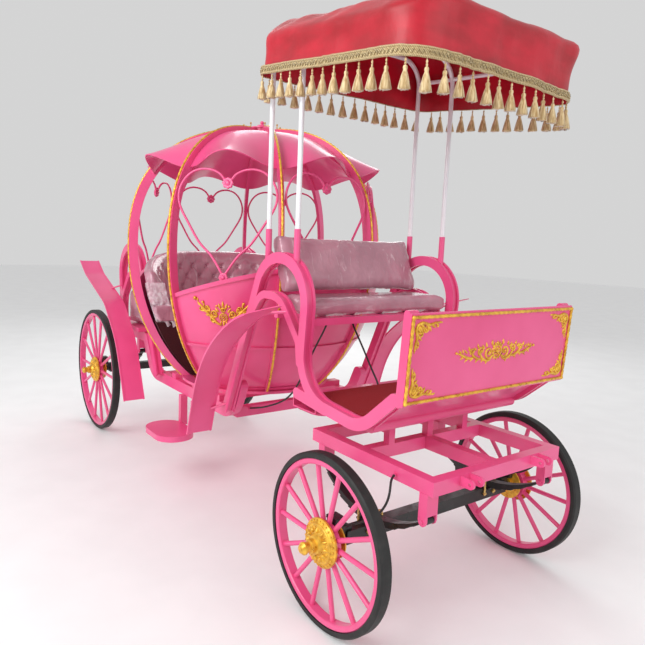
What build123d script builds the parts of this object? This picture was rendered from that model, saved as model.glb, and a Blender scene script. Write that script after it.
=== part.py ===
from build123d import *
import os
from math import asin, atan2, cos, degrees, hypot, pi, radians, sin, tan

os.makedirs("parts", exist_ok=True)

# Round open-sided carriage with a driver's seat under a canopy, in millimetres.
# Everything is drawn with the front axle at x = 0, +X forward, +Y to the left and the
# ground at z = 0. save() then moves each piece so that the origin is at mid-length.

# ---- wheels and axles ----
front_wheel_radius = 380.0
rear_wheel_radius = 502.0
wheelbase = 3200.0
half_track = 640.0
tyre_width = 56.0
tyre_depth = 26.0
tyre_bevel = 7.0
rim_width = 48.0
rim_depth = 26.0
rim_bevel = 4.0
spoke_count = 14
spoke_radius = 11.0
nave_radius = 84.0
nave_half_width = 18.0
hub_barrel_radius = 34.0
hub_inboard = 62.0
flange_radius = 105.0
hub_nose = 132.0
disc_radius = 82.0
disc_thickness = 6.0
disc_inboard = 47.0
disc_gap = 6.0
spindle_radius = 20.0
spindle_clearance = 0.05
spindle_reach = 58.0
axle_square = 60.0
axle_half_length = 545.0

# ---- leaf springs ----
spring_y = 394.0
leaf_width = 45.0
leaf_thickness = 7.0
leaf_count = 5
spring_pad = 6.0
eye_radius = 17.0
bolt_radius = 8.0
bolt_clearance = 0.3
ear_thickness = 8.0
ear_gap = 1.0

# ---- steering bogie ----
bogie_top = 727.0
bogie_tube_height = 60.0
bogie_tube_width = 50.0
bogie_rear = -408.0
bogie_front = 378.0
bogie_half_width = 423.0
mid_crossbar_x = -66.0
riser_y = 251.0
riser_width = 36.0
riser_top = 812.0
steer_x = -218.0
bearing_radius = 95.0
bearing_bore = 60.0
bearing_height = 24.0
bearing_clearance = 0.3
hitch_hole_x = 426.0
hitch_hole_z = 704.0
hitch_hole_radius = 7.0
hitch_ear_radius = 20.0
hitch_ear_thickness = 10.0
hitch_ear_ys = (206.0, 264.0)

# ---- driver's box ----
side_outer_y = 524.0
side_inner_y = 474.0
side_plate = 12.0
side_strip = 54.0
side_groove = 9.0
loop_radius = 219.0
loop_centre_x = -603.0
loop_centre_z = 1327.0
strut_angle = 66.5
strut_foot_z = 655.0
arch_strip = 40.0
rail_rear_x = -420.0
rail_rear_z = 910.0
box_tube = (-515.0, -326.0, 820.5, 878.0)
box_tube_wall = 6.0
floor_top = 896.0
pan_thickness = 4.0
carpet_thickness = 8.0
dash_half_width = 529.0
dash_thickness = 14.0
dash_foot = (285.0, 1022.0)
dash_head = (305.0, 1371.0)
dash_post = 32.0
toe_corner = (46.0, 866.0)
seat_half_width = 467.0
seat_front_x = -385.0
seat_back_x = -700.0
cushion_bottom = 1274.0
cushion_top = 1359.0

# ---- canopy ----
pole_radius = 12.5
pole_y = 499.0
pole_rear_x = -745.0
pole_front_x = -490.0
pole_foot_z = 1685.0
hoop_rear_top_z = 2680.0
hoop_front_top_z = 2641.0
hoop_bend = 140.0
brace_rear_z = 2562.0
brace_front_z = 2478.0
canopy_half_width = 555.0
canopy_front = 282.0
canopy_rear = -772.0
canopy_front_corner = 149.0
canopy_rear_corner = 58.0
hem_front_z = 2294.0
hem_rear_z = 2424.0
eave_front_z = 2485.0
eave_rear_z = 2604.0
ridge_front_z = 2556.0
ridge_rear_z = 2707.0
cloth_thickness = 10.0

# ---- round body ----
body_x = -1673.0
body_radius = 850.0
waist_z = 1555.0
crown_height = 798.0
bowl_depth = 1057.0
crown_power = 2.4
bowl_power = 2.0
rib_bottom_z = 702.0
rib_depth = 56.0
rib_thickness = 25.0
panel_inset = 25.0
panel_thickness = 6.0
rail_height = 24.0
belt_z = 1005.0
floor_z = 702.0
sill_low_z = 684.0
panel_top_at_door = 1280.0
panel_top_at_end = 1490.0
eave_share = 0.595
eave_rise = 80.0
eave_lip_radius = 790.0
roof_thickness = 6.0
heart_wire = 7.0
heart_half_width = 280.0
heart_drop = 135.0
sofa_gap = 28.0
sofa_half_angle = 75.0

# ---- perch ----
perch_y = 447.0
perch_width = 46.0
perch_height = 76.0
perch_low_z = 612.0
perch_rear_z = 865.0
perch_overhang = 375.0
platform_thickness = 30.0
platform_front = 872.0
platform_rear = 1327.0

# ---- fenders and steps ----
fender_width = 156.0
fender_sheet = 4.0
fender_bead = 10.0
step_x = body_x - 62
step_y = 610.0
step_z = 375.0
step_length = 385.0
step_width = 250.0
step_post = 95.0

# ---- cables and hoses: points from one end face to the other ----
cord_radius = 5.0
gland_radius = 9.0
gland_length = 16.0
rear_cable_route = (
    (-620, -190, 1238),
    (-636, -191, 1190),
    (-694, -200, 1094),
    (-751, -220, 975),
    (-801, -240, 847),
    (-842, -268, 768),
    (-905, -288, 719),
    (-990, -308, 680),
    (-1075, -326, 648),
    (-1153, -340, 630),
)
front_cable_route = (
    (-672, 0, 1240),
    (-655, 2, 1195),
    (-621, 5, 1145),
    (-562, 7, 1072),
    (-503, 6, 995),
    (-452, 3, 938),
    (-427, 1, 912),
    (-415, 0, 890),
)
hose_route = (
    (174, 435, 690),
    (187, 462, 684),
    (207, 484, 664),
    (218, 498, 634),
    (216, 511, 598),
    (200, 523, 563),
    (170, 535, 532),
    (131, 549, 501),
    (88, 565, 474),
    (46, 575, 458),
)

hitch_reach = hitch_hole_x + hitch_ear_radius
front_axle_x = (wheelbase + rear_wheel_radius - hitch_reach) / 2
bogie_low = bogie_top - bogie_tube_height
turntable_top = riser_top + bearing_height
crown_z = waist_z + crown_height
rib_top_z = crown_z - 1
eave_rib_z = waist_z + eave_share * crown_height
perch_rear_x = -wheelbase - perch_overhang
perch_rise_x = max(body_x - platform_front - 15, 640 - wheelbase)
platform_top = perch_rear_z + perch_height / 2 + platform_thickness


def save(name, *solids):
    """Write one node's solids, moved so that the origin is at mid-length."""
    moved = [Pos(front_axle_x, 0, 0) * solid for solid in solids]
    shape = moved[0] if len(moved) == 1 else Compound(moved)
    export_step(shape, f"parts/{name}.step")


def both_sides(solid):
    """The solid and its mirror image across the carriage's middle plane."""
    return [solid, mirror(solid, about=Plane.XZ)]


def slab(face, y_low, y_high):
    """Turn a face drawn as (x, z) upright and give it the span y_low to y_high."""
    return Pos(0, y_high, 0) * Rot(90, 0, 0) * extrude(face, y_high - y_low, dir=(0, 0, 1))


def band(path, width):
    """A flat strip of even width along a path in the sketch plane."""
    outline = Wire(path.edges()).offset_2d(width / 2, kind=Kind.INTERSECTION, side=Side.BOTH)
    return make_face(outline.edges())


def box(x_low, x_high, y_low, y_high, z_low, z_high):
    """A block given by its six faces."""
    centre = ((x_low + x_high) / 2, (y_low + y_high) / 2, (z_low + z_high) / 2)
    return Pos(*centre) * Box(x_high - x_low, y_high - y_low, z_high - z_low)


def rod(start, end, radius):
    """A round rod between two points."""
    direction = Vector(*end) - Vector(*start)
    return extrude(Plane(origin=start, z_dir=direction) * Circle(radius), direction.length)


def pipe(path, radius):
    """A round pipe, solid, along a path of straight runs and tangent arcs."""
    return sweep(Plane(origin=path @ 0, z_dir=path % 0) * Circle(radius), path=path)


def cord(points):
    """A cable's tube, each bend as wide as the two runs beside it allow."""
    corners = [Vector(*point) for point in points]
    radii = []
    for before, corner, after in zip(corners, corners[1:], corners[2:]):
        shorter = min((corner - before).length, (after - corner).length)
        turn = (corner - before).get_angle(after - corner)
        radii.append(0.45 * shorter / tan(radians(turn / 2)))
    print("cord bends, mm:", [round(radius) for radius in radii])
    return pipe(FilletPolyline(*corners, radius=radii), cord_radius)


def gland(end, beside):
    """Short sleeve that a cable's end face meets, running back into what carries it."""
    direction = (Vector(*end) - Vector(*beside)).normalized()
    return rod(end, tuple(Vector(*end) + direction * gland_length), gland_radius)


# ---------------------------------------------------------------- wheels

def bevelled(depth, width, bevel):
    """Rectangle with its four corners cut off."""
    shape = Rectangle(depth, width)
    return chamfer(shape.vertices(), bevel)


def tyre(radius):
    """Solid rubber tyre round the rim, with bevelled shoulders."""
    inner = radius - tyre_depth
    shoulder = radius - tyre_bevel
    half = tyre_width / 2
    tread = half - tyre_bevel
    outline = Polyline(
        (inner, -half), (shoulder, -half), (radius, -tread), (radius, tread), (shoulder, half), (inner, half),
        close=True,
    )
    return revolve(make_face(outline.edges()), Axis.Y)


def spoked_wheel(radius):
    """Rim, round spokes and nave in one piece, with the nave bored for the hub."""
    rim_outer = radius - tyre_depth
    section = Pos(rim_outer - rim_depth / 2, 0) * bevelled(rim_depth, rim_width, rim_bevel)
    wheel = revolve(section, Axis.Y)
    wheel += Rot(90, 0, 0) * Cylinder(nave_radius, 2 * nave_half_width)
    spoke_start = nave_radius - 20
    spoke_end = rim_outer - rim_depth + 4
    spoke = rod((spoke_start, 0, 0), (spoke_end, 0, 0), spoke_radius)
    spokes = [Rot(0, 360 / spoke_count * index, 0) * spoke for index in range(spoke_count)]
    wheel = wheel + spokes
    return wheel - Rot(90, 0, 0) * Cylinder(hub_barrel_radius, 4 * nave_half_width)


def hub():
    """Flange with a domed face and turned nose, the barrel and the brake disc."""
    bore = spindle_radius + spindle_clearance
    disc_outer = disc_inboard - disc_thickness
    face = nave_half_width + 9
    outline = Polyline(
        (bore, -hub_inboard),
        (hub_barrel_radius, -hub_inboard),
        (hub_barrel_radius, -disc_inboard),
        (disc_radius, -disc_inboard),
        (disc_radius, -disc_outer),
        (hub_barrel_radius, -disc_outer),
        (hub_barrel_radius, nave_half_width),
        (flange_radius, nave_half_width),
        (flange_radius, face),
        (flange_radius - 22, face + 14),
        (46, face + 23),
        (38, hub_nose - 68),
        (30, hub_nose - 66),
        (30, hub_nose - 48),
        (22, hub_nose - 44),
        (22, hub_nose - 28),
        (27, hub_nose - 24),
        (27, hub_nose - 16),
        (16, hub_nose - 3),
        (0, hub_nose),
        (0, spindle_reach + 2),
        (bore, spindle_reach + 2),
        close=True,
    )
    return revolve(make_face(outline.edges()), Axis.Y)


def save_wheel(name, radius, axle_x, side):
    """Write a wheel's three pieces; side is +1 on the left and -1 on the right."""
    place = Pos(axle_x, side * half_track, radius)
    for piece, solid in (("tyre", tyre(radius)), ("wheel", spoked_wheel(radius)), ("hub", hub())):
        turned = solid if side > 0 else mirror(solid, about=Plane.XZ)
        save(f"{name}_{piece}", place * turned)


def axle(x, z):
    """Square beam with a round spindle at each end, spring pads and brake calipers."""
    half = axle_square / 2
    beam = box(x - half, x + half, -axle_half_length, axle_half_length, z - half, z + half)
    reach = half_track + spindle_reach
    beam += rod((x, -reach, z), (x, reach, z), spindle_radius)
    for solid in both_sides(brake_caliper(x, z)):
        beam += solid
    if x == 0:
        for solid in both_sides(gland(hose_route[-1], hose_route[-2])):
            beam += solid
    pad_top = z + half + spring_pad
    for solid in both_sides(box(x - 55, x + 55, spring_y - 32, spring_y + 32, z + half - 2, pad_top)):
        beam += solid
    return beam


def brake_caliper(x, z):
    """Left brake caliper astride the disc, on a bracket from the end of the axle."""
    inner = half_track - disc_inboard - disc_gap
    outer = half_track - disc_inboard + disc_thickness + disc_gap
    top = z + disc_radius + disc_gap
    caliper = box(x - 34, x + 34, inner - 24, inner, z + 42, top + 14)
    caliper += box(x - 34, x + 34, inner - 1, outer + 10, top, top + 14)
    caliper += box(x - 28, x + 28, outer, outer + 10, z + 46, top + 1)
    caliper += box(x - 20, x + 20, axle_half_length - 30, inner - 20, z + 10, z + 46)
    return caliper


# ---------------------------------------------------------------- leaf springs

def leaf_half(root, length_share, radius, turn, direction):
    """Centre line of one half of a leaf, level at the axle and rising to the eye."""
    arc = direction * turn * length_share
    return JernArc(start=root, tangent=(direction, 0), radius=radius, arc_size=arc)


def leaf_spring(x, seat_z, front_eye, rear_eye):
    """Stacked leaves on one side, given by the two eyes as (x, z) from the axle."""
    stack_top = seat_z + leaf_count * leaf_thickness
    stack = []
    for eye, direction in ((front_eye, 1), (rear_eye, -1)):
        reach = abs(eye[0])
        rise = eye[1] - (stack_top - leaf_thickness / 2)
        radius = (reach ** 2 + rise ** 2) / (2 * rise)
        turn = degrees(asin(reach / radius))
        for index in range(leaf_count):
            depth = (index + 0.5) * leaf_thickness
            share = 1 - 0.17 * index
            leaf_radius = radius + index * leaf_thickness
            line = leaf_half((0, stack_top - depth), share, leaf_radius, turn, direction)
            stack.append(band(line, leaf_thickness + 0.02))
        stack.append(Pos(*eye) * Circle(eye_radius))
    face = stack[0].fuse(*stack[1:])
    face = face - Pos(*front_eye) * Circle(bolt_radius) - Pos(*rear_eye) * Circle(bolt_radius)
    half = leaf_width / 2
    return Pos(x, 0, 0) * slab(face, spring_y - half, spring_y + half)


def hanger(eye, beam_low, x_rear, x_front):
    """Post under a frame rail ending in two ears and the bolt through a spring eye."""
    inner = leaf_width / 2 + ear_gap
    outer = inner + ear_thickness
    foot_z = eye[1] + eye_radius + 8
    post = box(x_rear, x_front, spring_y - outer, spring_y + outer, foot_z, beam_low + 1)
    ear_face = Pos(*eye) * Circle(eye_radius + 3)
    middle = (x_rear + x_front) / 2
    ear_face += Pos(middle, (eye[1] + foot_z) / 2 + 6) * Rectangle(x_front - x_rear, foot_z - eye[1] + 12)
    for low, high in ((inner, outer), (-outer, -inner)):
        post += slab(ear_face, spring_y + low, spring_y + high)
    bolt = Pos(*eye) * Circle(bolt_radius - bolt_clearance)
    return post + slab(bolt, spring_y - outer - 5, spring_y + outer + 5)


# ---------------------------------------------------------------- bogie

front_seat_z = front_wheel_radius + axle_square / 2 + spring_pad
front_spring_front = (332.0, 551.0)
front_spring_rear = (-330.0, 585.0)
rear_seat_z = rear_wheel_radius + axle_square / 2 + spring_pad
rear_spring_front = (370.0, 702.0)
rear_spring_rear = (-370.0, 702.0)


def bogie_frame():
    """Bars of the ladder frame that steers, with spring hangers and hitch ears."""
    rail_in = bogie_half_width - bogie_tube_width
    rail = box(bogie_rear, bogie_front, rail_in, bogie_half_width, bogie_low, bogie_top)
    for eye in (front_spring_front, front_spring_rear):
        rail += hanger(eye, bogie_low, eye[0] - 22, eye[0] + 22)
    rail += gland(hose_route[0], hose_route[1])
    half = bogie_tube_width / 2
    crossbars = [
        box(x - half, x + half, -rail_in, rail_in, bogie_low, bogie_top)
        for x in (bogie_rear + half, mid_crossbar_x, bogie_front - half)
    ]
    for side in (-1, 1):
        for y in hitch_ear_ys:
            crossbars[-1] += hitch_ear(side * y)
    middle = box(mid_crossbar_x + half, bogie_front - 2 * half, -half, half, bogie_low, bogie_top)
    return [*both_sides(rail), *crossbars, middle]


def turntable_stand():
    """Six risers and the beams across them that carry the steering bearing."""
    half = riser_width / 2
    rear_x = bogie_rear + bogie_tube_width / 2
    front_x = mid_crossbar_x + 12
    beam_low = riser_top - riser_width
    stand = box(rear_x, front_x, -half, half, beam_low, riser_top)
    for y in (-riser_y, 0, riser_y):
        stand += box(rear_x, front_x, y - half, y + half, beam_low, riser_top)
        for x in (rear_x, front_x):
            stand += box(x - half, x + half, y - half, y + half, bogie_top, riser_top)
    for x in (steer_x - 62, steer_x + 62):
        stand += box(x - 20, x + 20, -riser_y, riser_y, beam_low, riser_top)
    return stand


def hitch_ear(y):
    """One ear of a clevis on the front crossbar, for the shaft's cross pin."""
    face = Pos(hitch_hole_x, hitch_hole_z) * Circle(hitch_ear_radius)
    length = hitch_hole_x - bogie_front + 1
    face += Pos(hitch_hole_x - length / 2, hitch_hole_z) * Rectangle(length, 2 * hitch_ear_radius)
    face -= Pos(hitch_hole_x, hitch_hole_z) * Circle(hitch_hole_radius)
    return slab(face, y - hitch_ear_thickness / 2, y + hitch_ear_thickness / 2)


def turntable_bearing():
    """Black ring bearing on the bogie's risers, under the driver's box."""
    ring = Cylinder(bearing_radius, bearing_height) - Cylinder(bearing_bore, bearing_height * 2)
    return Pos(steer_x, 0, riser_top + bearing_height / 2) * ring


# ---------------------------------------------------------------- driver's box

def loop_corners():
    """Strut foot and the two upper corners of the loop, as (x, z)."""
    top = loop_centre_z + loop_radius
    rear_x = loop_centre_x - 5 - loop_radius * tan(radians(strut_angle / 2))
    front_x = loop_centre_x + loop_radius * tan(radians(47))
    foot_x = rear_x - (top - strut_foot_z) / tan(radians(strut_angle))
    return (foot_x, strut_foot_z), (rear_x, top), (front_x, top)


def side_path():
    """Strut from the perch, up over the loop, down in an S and along to the toe board."""
    return FilletPolyline(
        *loop_corners(),
        (rail_rear_x + 8, rail_rear_z),
        toe_corner,
        (dash_foot[0] - 50, dash_foot[1] + 9),
        radius=[loop_radius, loop_radius, loop_radius, 190],
    )


def second_arch_path():
    """Smaller arch behind the loop, joining its strut to its front leg."""
    x = loop_centre_x
    z = loop_centre_z + 29
    return FilletPolyline(
        (x - 265, z - 116),
        (x - 169, z),
        (x + 5, z),
        (x + 178, z - 198),
        (x + 191, z - 296),
        radius=[110, 170, 60],
    )


def strut_pad(foot_x):
    """Block that joins the strut's foot to the outside of the left perch rail."""
    rail_face = perch_y + perch_width / 2
    x_rear = foot_x - 26
    x_front = foot_x + 30
    return box(x_rear, x_front, rail_face + 0.3, side_inner_y + 1, perch_low_z + 20, perch_low_z + 75)


def grooved(path, width):
    """Two strips with a recessed web between them, from the inner to the outer face."""
    wide = band(path, width)
    web = band(path, width - 2 * side_groove)
    solid = slab(wide, side_outer_y - side_plate, side_outer_y)
    solid += slab(wide, side_inner_y, side_inner_y + side_plate)
    solid += slab(web, side_inner_y, side_outer_y)
    return solid


def driver_side():
    """Left side frame of the driver's box with dash post and canopy pole sockets."""
    frame = grooved(side_path(), side_strip)
    frame += grooved(second_arch_path(), arch_strip)
    foot = band(Line((rail_rear_x, rail_rear_z + 1), (-200, 886)), side_strip)
    frame += slab(foot, side_inner_y, side_outer_y)
    back = dash_thickness / 2 + dash_post / 2 + 0.5
    post = band(Line((dash_foot[0] - back, dash_foot[1]), (dash_head[0] - back, dash_head[1])), dash_post)
    frame += slab(post, side_inner_y, side_outer_y)
    for x in (pole_rear_x, pole_front_x):
        frame += rod((x, pole_y, 1500), (x, pole_y, pole_foot_z), pole_radius + 3.5)
    return frame + strut_pad(loop_corners()[0][0])


def driver_underframe():
    """Upper bearing plate, its two cross beams and the wide box tube behind them."""
    beam_low = turntable_top + bearing_clearance
    inner = side_inner_y
    pan_low = floor_top - pan_thickness
    plate_top = beam_low + 10
    plate = Cylinder(bearing_radius + 8, 10) - Cylinder(bearing_bore, 40)
    frame = Pos(steer_x, 0, beam_low + 5) * plate
    for x in (steer_x - 62, steer_x + 62):
        frame += box(x - 25, x + 25, -inner, inner, plate_top - 1, pan_low)
    x_low, x_high, z_low, z_high = box_tube
    tube = box(x_low, x_high, -inner, inner, z_low, z_high)
    wall = box_tube_wall
    tube -= box(x_low + wall, x_high - wall, -inner - 1, inner + 1, z_low + wall, z_high - wall)
    frame += tube
    for y in (-200, 200):
        frame += box(x_high - 1, steer_x - 86, y - 20, y + 20, plate_top - 1, z_high)
    return frame + gland(front_cable_route[-1], front_cable_route[-2])


def driver_floor():
    """Floor pan, sloping toe board and the beam across their corner."""
    inner = side_inner_y
    corner_x, corner_z = toe_corner
    floor = box(-400, corner_x - 16, -inner, inner, floor_top - pan_thickness, floor_top)
    toe = band(Line((corner_x - 8, corner_z - 4), (dash_foot[0] - 17, dash_foot[1] + 30)), 10)
    beam = band(Line((corner_x - 24, corner_z + 2), (corner_x + 14, corner_z + 2)), 50)
    floor += slab(toe, -inner, inner)
    floor += slab(beam, -inner, inner)
    return floor


def driver_carpet():
    """Red carpet in front of the driver's seat."""
    inner = side_inner_y - 4
    return box(-396, toe_corner[0] - 34, -inner, inner, floor_top + 0.3, floor_top + carpet_thickness)


def dash_board():
    """Flat splash board leaning forward in front of the two dash posts."""
    return slab(band(Line(dash_foot, dash_head), dash_thickness), -dash_half_width, dash_half_width)


def driver_seat_frame():
    """Two cross tubes and a slatted base that carry the seat between the side frames."""
    top = cushion_bottom - 2
    front_x = seat_front_x - 17
    rear_x = seat_back_x + 20
    frame = box(front_x, front_x + 32, -side_inner_y, side_inner_y, top - 34, top)
    frame += box(rear_x - 32, rear_x, -side_inner_y, side_inner_y, top - 34, top)
    for y in (-380, -190, 0, 190, 380):
        frame += box(rear_x - 1, front_x + 1, y - 20, y + 20, top - 20, top)
    frame += gland(rear_cable_route[0], rear_cable_route[1])
    return frame + gland(front_cable_route[0], front_cable_route[1])


def driver_cushion():
    """Simple solid of the seat cushion."""
    block = box(seat_back_x, seat_front_x, -seat_half_width, seat_half_width, cushion_bottom, cushion_top)
    return fillet(block.edges().filter_by(Axis.Y), 22)


def driver_backrest():
    """Simple solid of the leaning seat back."""
    lean = degrees(atan2(1655 - 1364, -772 + 650))
    face = Pos(seat_back_x - 11, cushion_top + 150.5) * Rot(0, 0, lean) * RectangleRounded(316, 88, 24)
    above_seat = box(seat_back_x - 200, seat_back_x + 200, -600, 600, cushion_top + 2, cushion_top + 400)
    return slab(face, -seat_half_width, seat_half_width) & above_seat


# ---------------------------------------------------------------- canopy

def hoop(x, top):
    """Two poles and the pipe across their tops, bent at the corners."""
    low = pole_foot_z
    path = FilletPolyline((pole_y, low), (pole_y, top), (-pole_y, top), (-pole_y, low), radius=hoop_bend)
    upright = Plane(origin=(x, 0, 0), x_dir=(0, 1, 0), z_dir=(1, 0, 0)) * path
    return pipe(upright, pole_radius)


def canopy_frame():
    """Both hoops, and the side pipes and front cross pipe that fall to the front edge."""
    frame = hoop(pole_rear_x, hoop_rear_top_z) + hoop(pole_front_x, hoop_front_top_z)
    reach = canopy_front - 40
    length = reach - pole_rear_x
    line = FilletPolyline((0, pole_y), (length, pole_y), (length, -pole_y), (0, -pole_y), radius=90)
    slope = degrees(asin((brace_rear_z - brace_front_z) / length))
    frame += pipe(Pos(pole_rear_x, 0, brace_rear_z) * Rot(0, slope, 0) * line, pole_radius - 1.5)
    return frame


def canopy_solid(inset):
    """Solid inside the cloth's outer face, moved in all round by the inset."""
    middle = (canopy_front + canopy_rear) / 2
    half_length = (canopy_front - canopy_rear) / 2 - inset
    half_width = canopy_half_width - inset
    plan = Rectangle(2 * half_length, 2 * half_width)
    plan = fillet(plan.vertices().sort_by(Axis.X)[-2:], canopy_front_corner - inset)
    plan = fillet(plan.vertices().sort_by(Axis.X)[:2], canopy_rear_corner - inset)
    block = Pos(middle, 0, 2200) * extrude(plan, 700, dir=(0, 0, 1))
    roof_line = Polyline(
        (canopy_rear, ridge_rear_z - 44 - inset),
        (canopy_rear + 15, ridge_rear_z - inset),
        (canopy_front - 50, ridge_front_z - inset),
        (canopy_front, ridge_front_z - 26 - inset),
    )
    hem_front = (canopy_front, hem_front_z - 5 * inset)
    hem_rear = (canopy_rear, hem_rear_z - 5 * inset)
    hem_line = Polyline(roof_line @ 1, hem_front, hem_rear, roof_line @ 0)
    side_view = slab(make_face(roof_line.edges() + hem_line.edges()), -600, 600)
    section = Polyline(
        (half_width, 2000),
        (half_width, eave_rear_z - inset),
        (half_width - 77, eave_rear_z + 60 - inset),
        (half_width - 115, eave_rear_z + 92 - inset),
        (half_width - 175, eave_rear_z + 112 - inset),
        (175 - half_width, eave_rear_z + 112 - inset),
        (115 - half_width, eave_rear_z + 92 - inset),
        (77 - half_width, eave_rear_z + 60 - inset),
        (-half_width, eave_rear_z - inset),
        (-half_width, 2000),
        close=True,
    )
    across = Plane(origin=(canopy_rear, 0, 0), x_dir=(0, 1, 0), z_dir=(1, 0, 0))
    droop = (eave_front_z - eave_rear_z) / (canopy_front - canopy_rear)
    end_view = extrude(across * make_face(section.edges()), 1200, dir=Vector(1, 0, droop).normalized())
    return block & side_view & end_view


def canopy_cloth():
    """Closed shell of the cloth cover, open below."""
    return canopy_solid(0) - canopy_solid(cloth_thickness)


# ---------------------------------------------------------------- round body

def outline_radius(z):
    """Distance of the ribs' outer edge from the body's axis at a height."""
    if z >= waist_z:
        share = (z - waist_z) / crown_height
        return body_radius * (1 - share ** crown_power) ** (1 / crown_power)
    share = (waist_z - z) / bowl_depth
    return body_radius * (1 - share ** bowl_power) ** (1 / bowl_power)


def outline_points(z_low, z_high, inset, count):
    """Points of the body's outline, moved towards its axis by the inset."""
    points = []
    for index in range(count):
        z = z_low + (z_high - z_low) * index / (count - 1)
        points.append((outline_radius(z) - inset, z))
    return points


def rib_angle(index):
    """Compass angle of a rib, counted round from the front left one."""
    return 22.5 + 45 * index


def rib():
    """One flat curved bar, drawn in the plane y = 0 at the body's axis."""
    outer_low = outline_points(rib_bottom_z, waist_z, 0, 7)
    outer_high = outline_points(waist_z, waist_z + 0.883 * crown_height, 0, 7)
    crown = outline_points(waist_z + 0.946 * crown_height, waist_z + 0.984 * crown_height, 0, 2)
    outer = outer_low + outer_high[1:] + crown + [(70, rib_top_z)]
    inner = [(x - rib_depth, z) for x, z in outer_low]
    inner += inner_crown_points()
    face = make_face(
        Spline(*outer).edges()
        + Line(outer[-1], inner[-1]).edges()
        + Spline(*inner).edges()
        + Line(inner[0], outer[0]).edges()
    )
    return slab(face, -rib_thickness / 2, rib_thickness / 2)


def inner_crown_points():
    """Inner edge of a rib above the waist, at the rib's depth inside the outer edge."""
    points = []
    for share in (0.18, 0.37, 0.56, 0.71, 0.83):
        z = waist_z + share * crown_height
        step = 4.0
        slope = (outline_radius(z + step) - outline_radius(z - step)) / (2 * step)
        length = hypot(1, slope)
        points.append((outline_radius(z) - rib_depth / length, z + rib_depth * slope / length))
    points.append((70, rib_top_z - rib_depth))
    return points


def ribs():
    """The eight ribs round the body."""
    bar = rib()
    return [Pos(body_x, 0, 0) * Rot(0, 0, rib_angle(index)) * bar for index in range(8)]


def bay_wedge(angle, z_low, z_high, gap):
    """Space between two ribs, clear of their sides by the gap."""
    side = rib_thickness / 2 + gap
    start = side / sin(radians(22.5))
    reach = 1200
    far = reach * tan(radians(22.5))
    face = make_face(Polyline((start, 0), (start + reach, far), (start + reach, -far), close=True))
    wedge = extrude(face, z_high - z_low, dir=(0, 0, 1))
    return Pos(body_x, 0, z_low) * Rot(0, 0, angle) * wedge


def bowl_shell(inset, thickness, z_low, z_high):
    """Ring of the body's wall between two heights."""
    outer = outline_points(z_low, z_high, inset, 7)
    inner = [(x - thickness, z) for x, z in outer]
    face = make_face(
        Spline(*outer).edges()
        + Line(outer[-1], inner[-1]).edges()
        + Spline(*inner).edges()
        + Line(inner[0], outer[0]).edges()
    )
    return Pos(body_x, 0, 0) * revolve(Plane.XZ * face, Axis.Z)


def under_curve(angle, height_left, height_right, drop):
    """Everything in a bay below its top line, which may rise from one rib to the other."""
    half = body_radius * sin(radians(22.5)) + 60
    low = Polyline((half, height_left - drop), (half, 500), (-half, 500), (-half, height_right - drop))
    level = (height_left + height_right) / 2 - drop
    top = Spline(
        (-half, height_right - drop),
        (0, level + (18 if height_left != height_right else 10)),
        (half, height_left - drop),
    )
    face = make_face(low.edges() + top.edges())
    prism = extrude(Plane(origin=(0, 0, 0), x_dir=(0, 1, 0), z_dir=(1, 0, 0)) * face, 1200)
    return Pos(body_x, 0, 0) * Rot(0, 0, angle) * prism


def bay_heights(angle):
    """Height of the panel's top line at the bay's left rib and at its right rib."""
    if angle in (0, 180):
        return panel_top_at_end, panel_top_at_end
    if angle in (45, 225):
        return panel_top_at_door, panel_top_at_end
    return panel_top_at_end, panel_top_at_door


def lower_panel(angle):
    """Curved wall of one bay with its top rail, belt moulding and bottom rail."""
    left, right = bay_heights(angle)
    wall = bowl_shell(panel_inset, panel_thickness, floor_z, 1540)
    rail = bowl_shell(panel_inset - 12, 24, 1200, 1540)
    belt = bowl_shell(panel_inset - 10, 14, belt_z - 9, belt_z + 9)
    foot = bowl_shell(panel_inset - 8, 18, floor_z, floor_z + 26)
    below = under_curve(angle, left, right, 0)
    rail = (rail & below) - under_curve(angle, left, right, rail_height)
    wall = wall & below
    solid = wall + rail + belt + foot
    return solid & bay_wedge(angle, 500, 1600, 0.5)


def body_floor():
    """Round floor with the ring under the ribs and the joists down to the perch."""
    ring_radius = outline_radius(floor_z)
    top = floor_z - 0.5
    floor = Cylinder(ring_radius, top - sill_low_z, align=(Align.CENTER, Align.CENTER, Align.MIN))
    floor = Pos(body_x, 0, sill_low_z) * floor
    for x in (-330, 0, 330):
        floor += box(body_x + x - 30, body_x + x + 30, -perch_y - 20, perch_y + 20, 650.2, sill_low_z + 2)
    return floor


def body_carpet():
    """Red carpet on the round floor."""
    radius = outline_radius(floor_z) - rib_depth - 12
    disc = Cylinder(radius, carpet_thickness, align=(Align.CENTER, Align.CENTER, Align.MIN))
    return Pos(body_x, 0, floor_z) * disc


def roof_point(across, down):
    """Roof surface of one bay: across from rib to rib -1..1, down from crown 0 to eave 1."""
    top = crown_z - 23
    side_z = top - (top - eave_rib_z) * down ** 1.9
    side_radius = outline_radius(side_z + 12) - 34
    side_radius = 80 + (side_radius - 80) * min(1, down * 3) if down < 1 / 3 else side_radius
    bulge = cos(across * pi / 2) ** 2
    z = side_z + bulge * eave_rise * down ** 4
    rim = outline_radius(eave_rib_z + 12) - 34
    radius = side_radius + bulge * (eave_lip_radius - rim) * down ** 4
    limit = 22.5 - degrees(asin((rib_thickness / 2 + 0.6) / radius))
    angle = radians(across * limit)
    return Vector(radius * cos(angle), radius * sin(angle), z)


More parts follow.
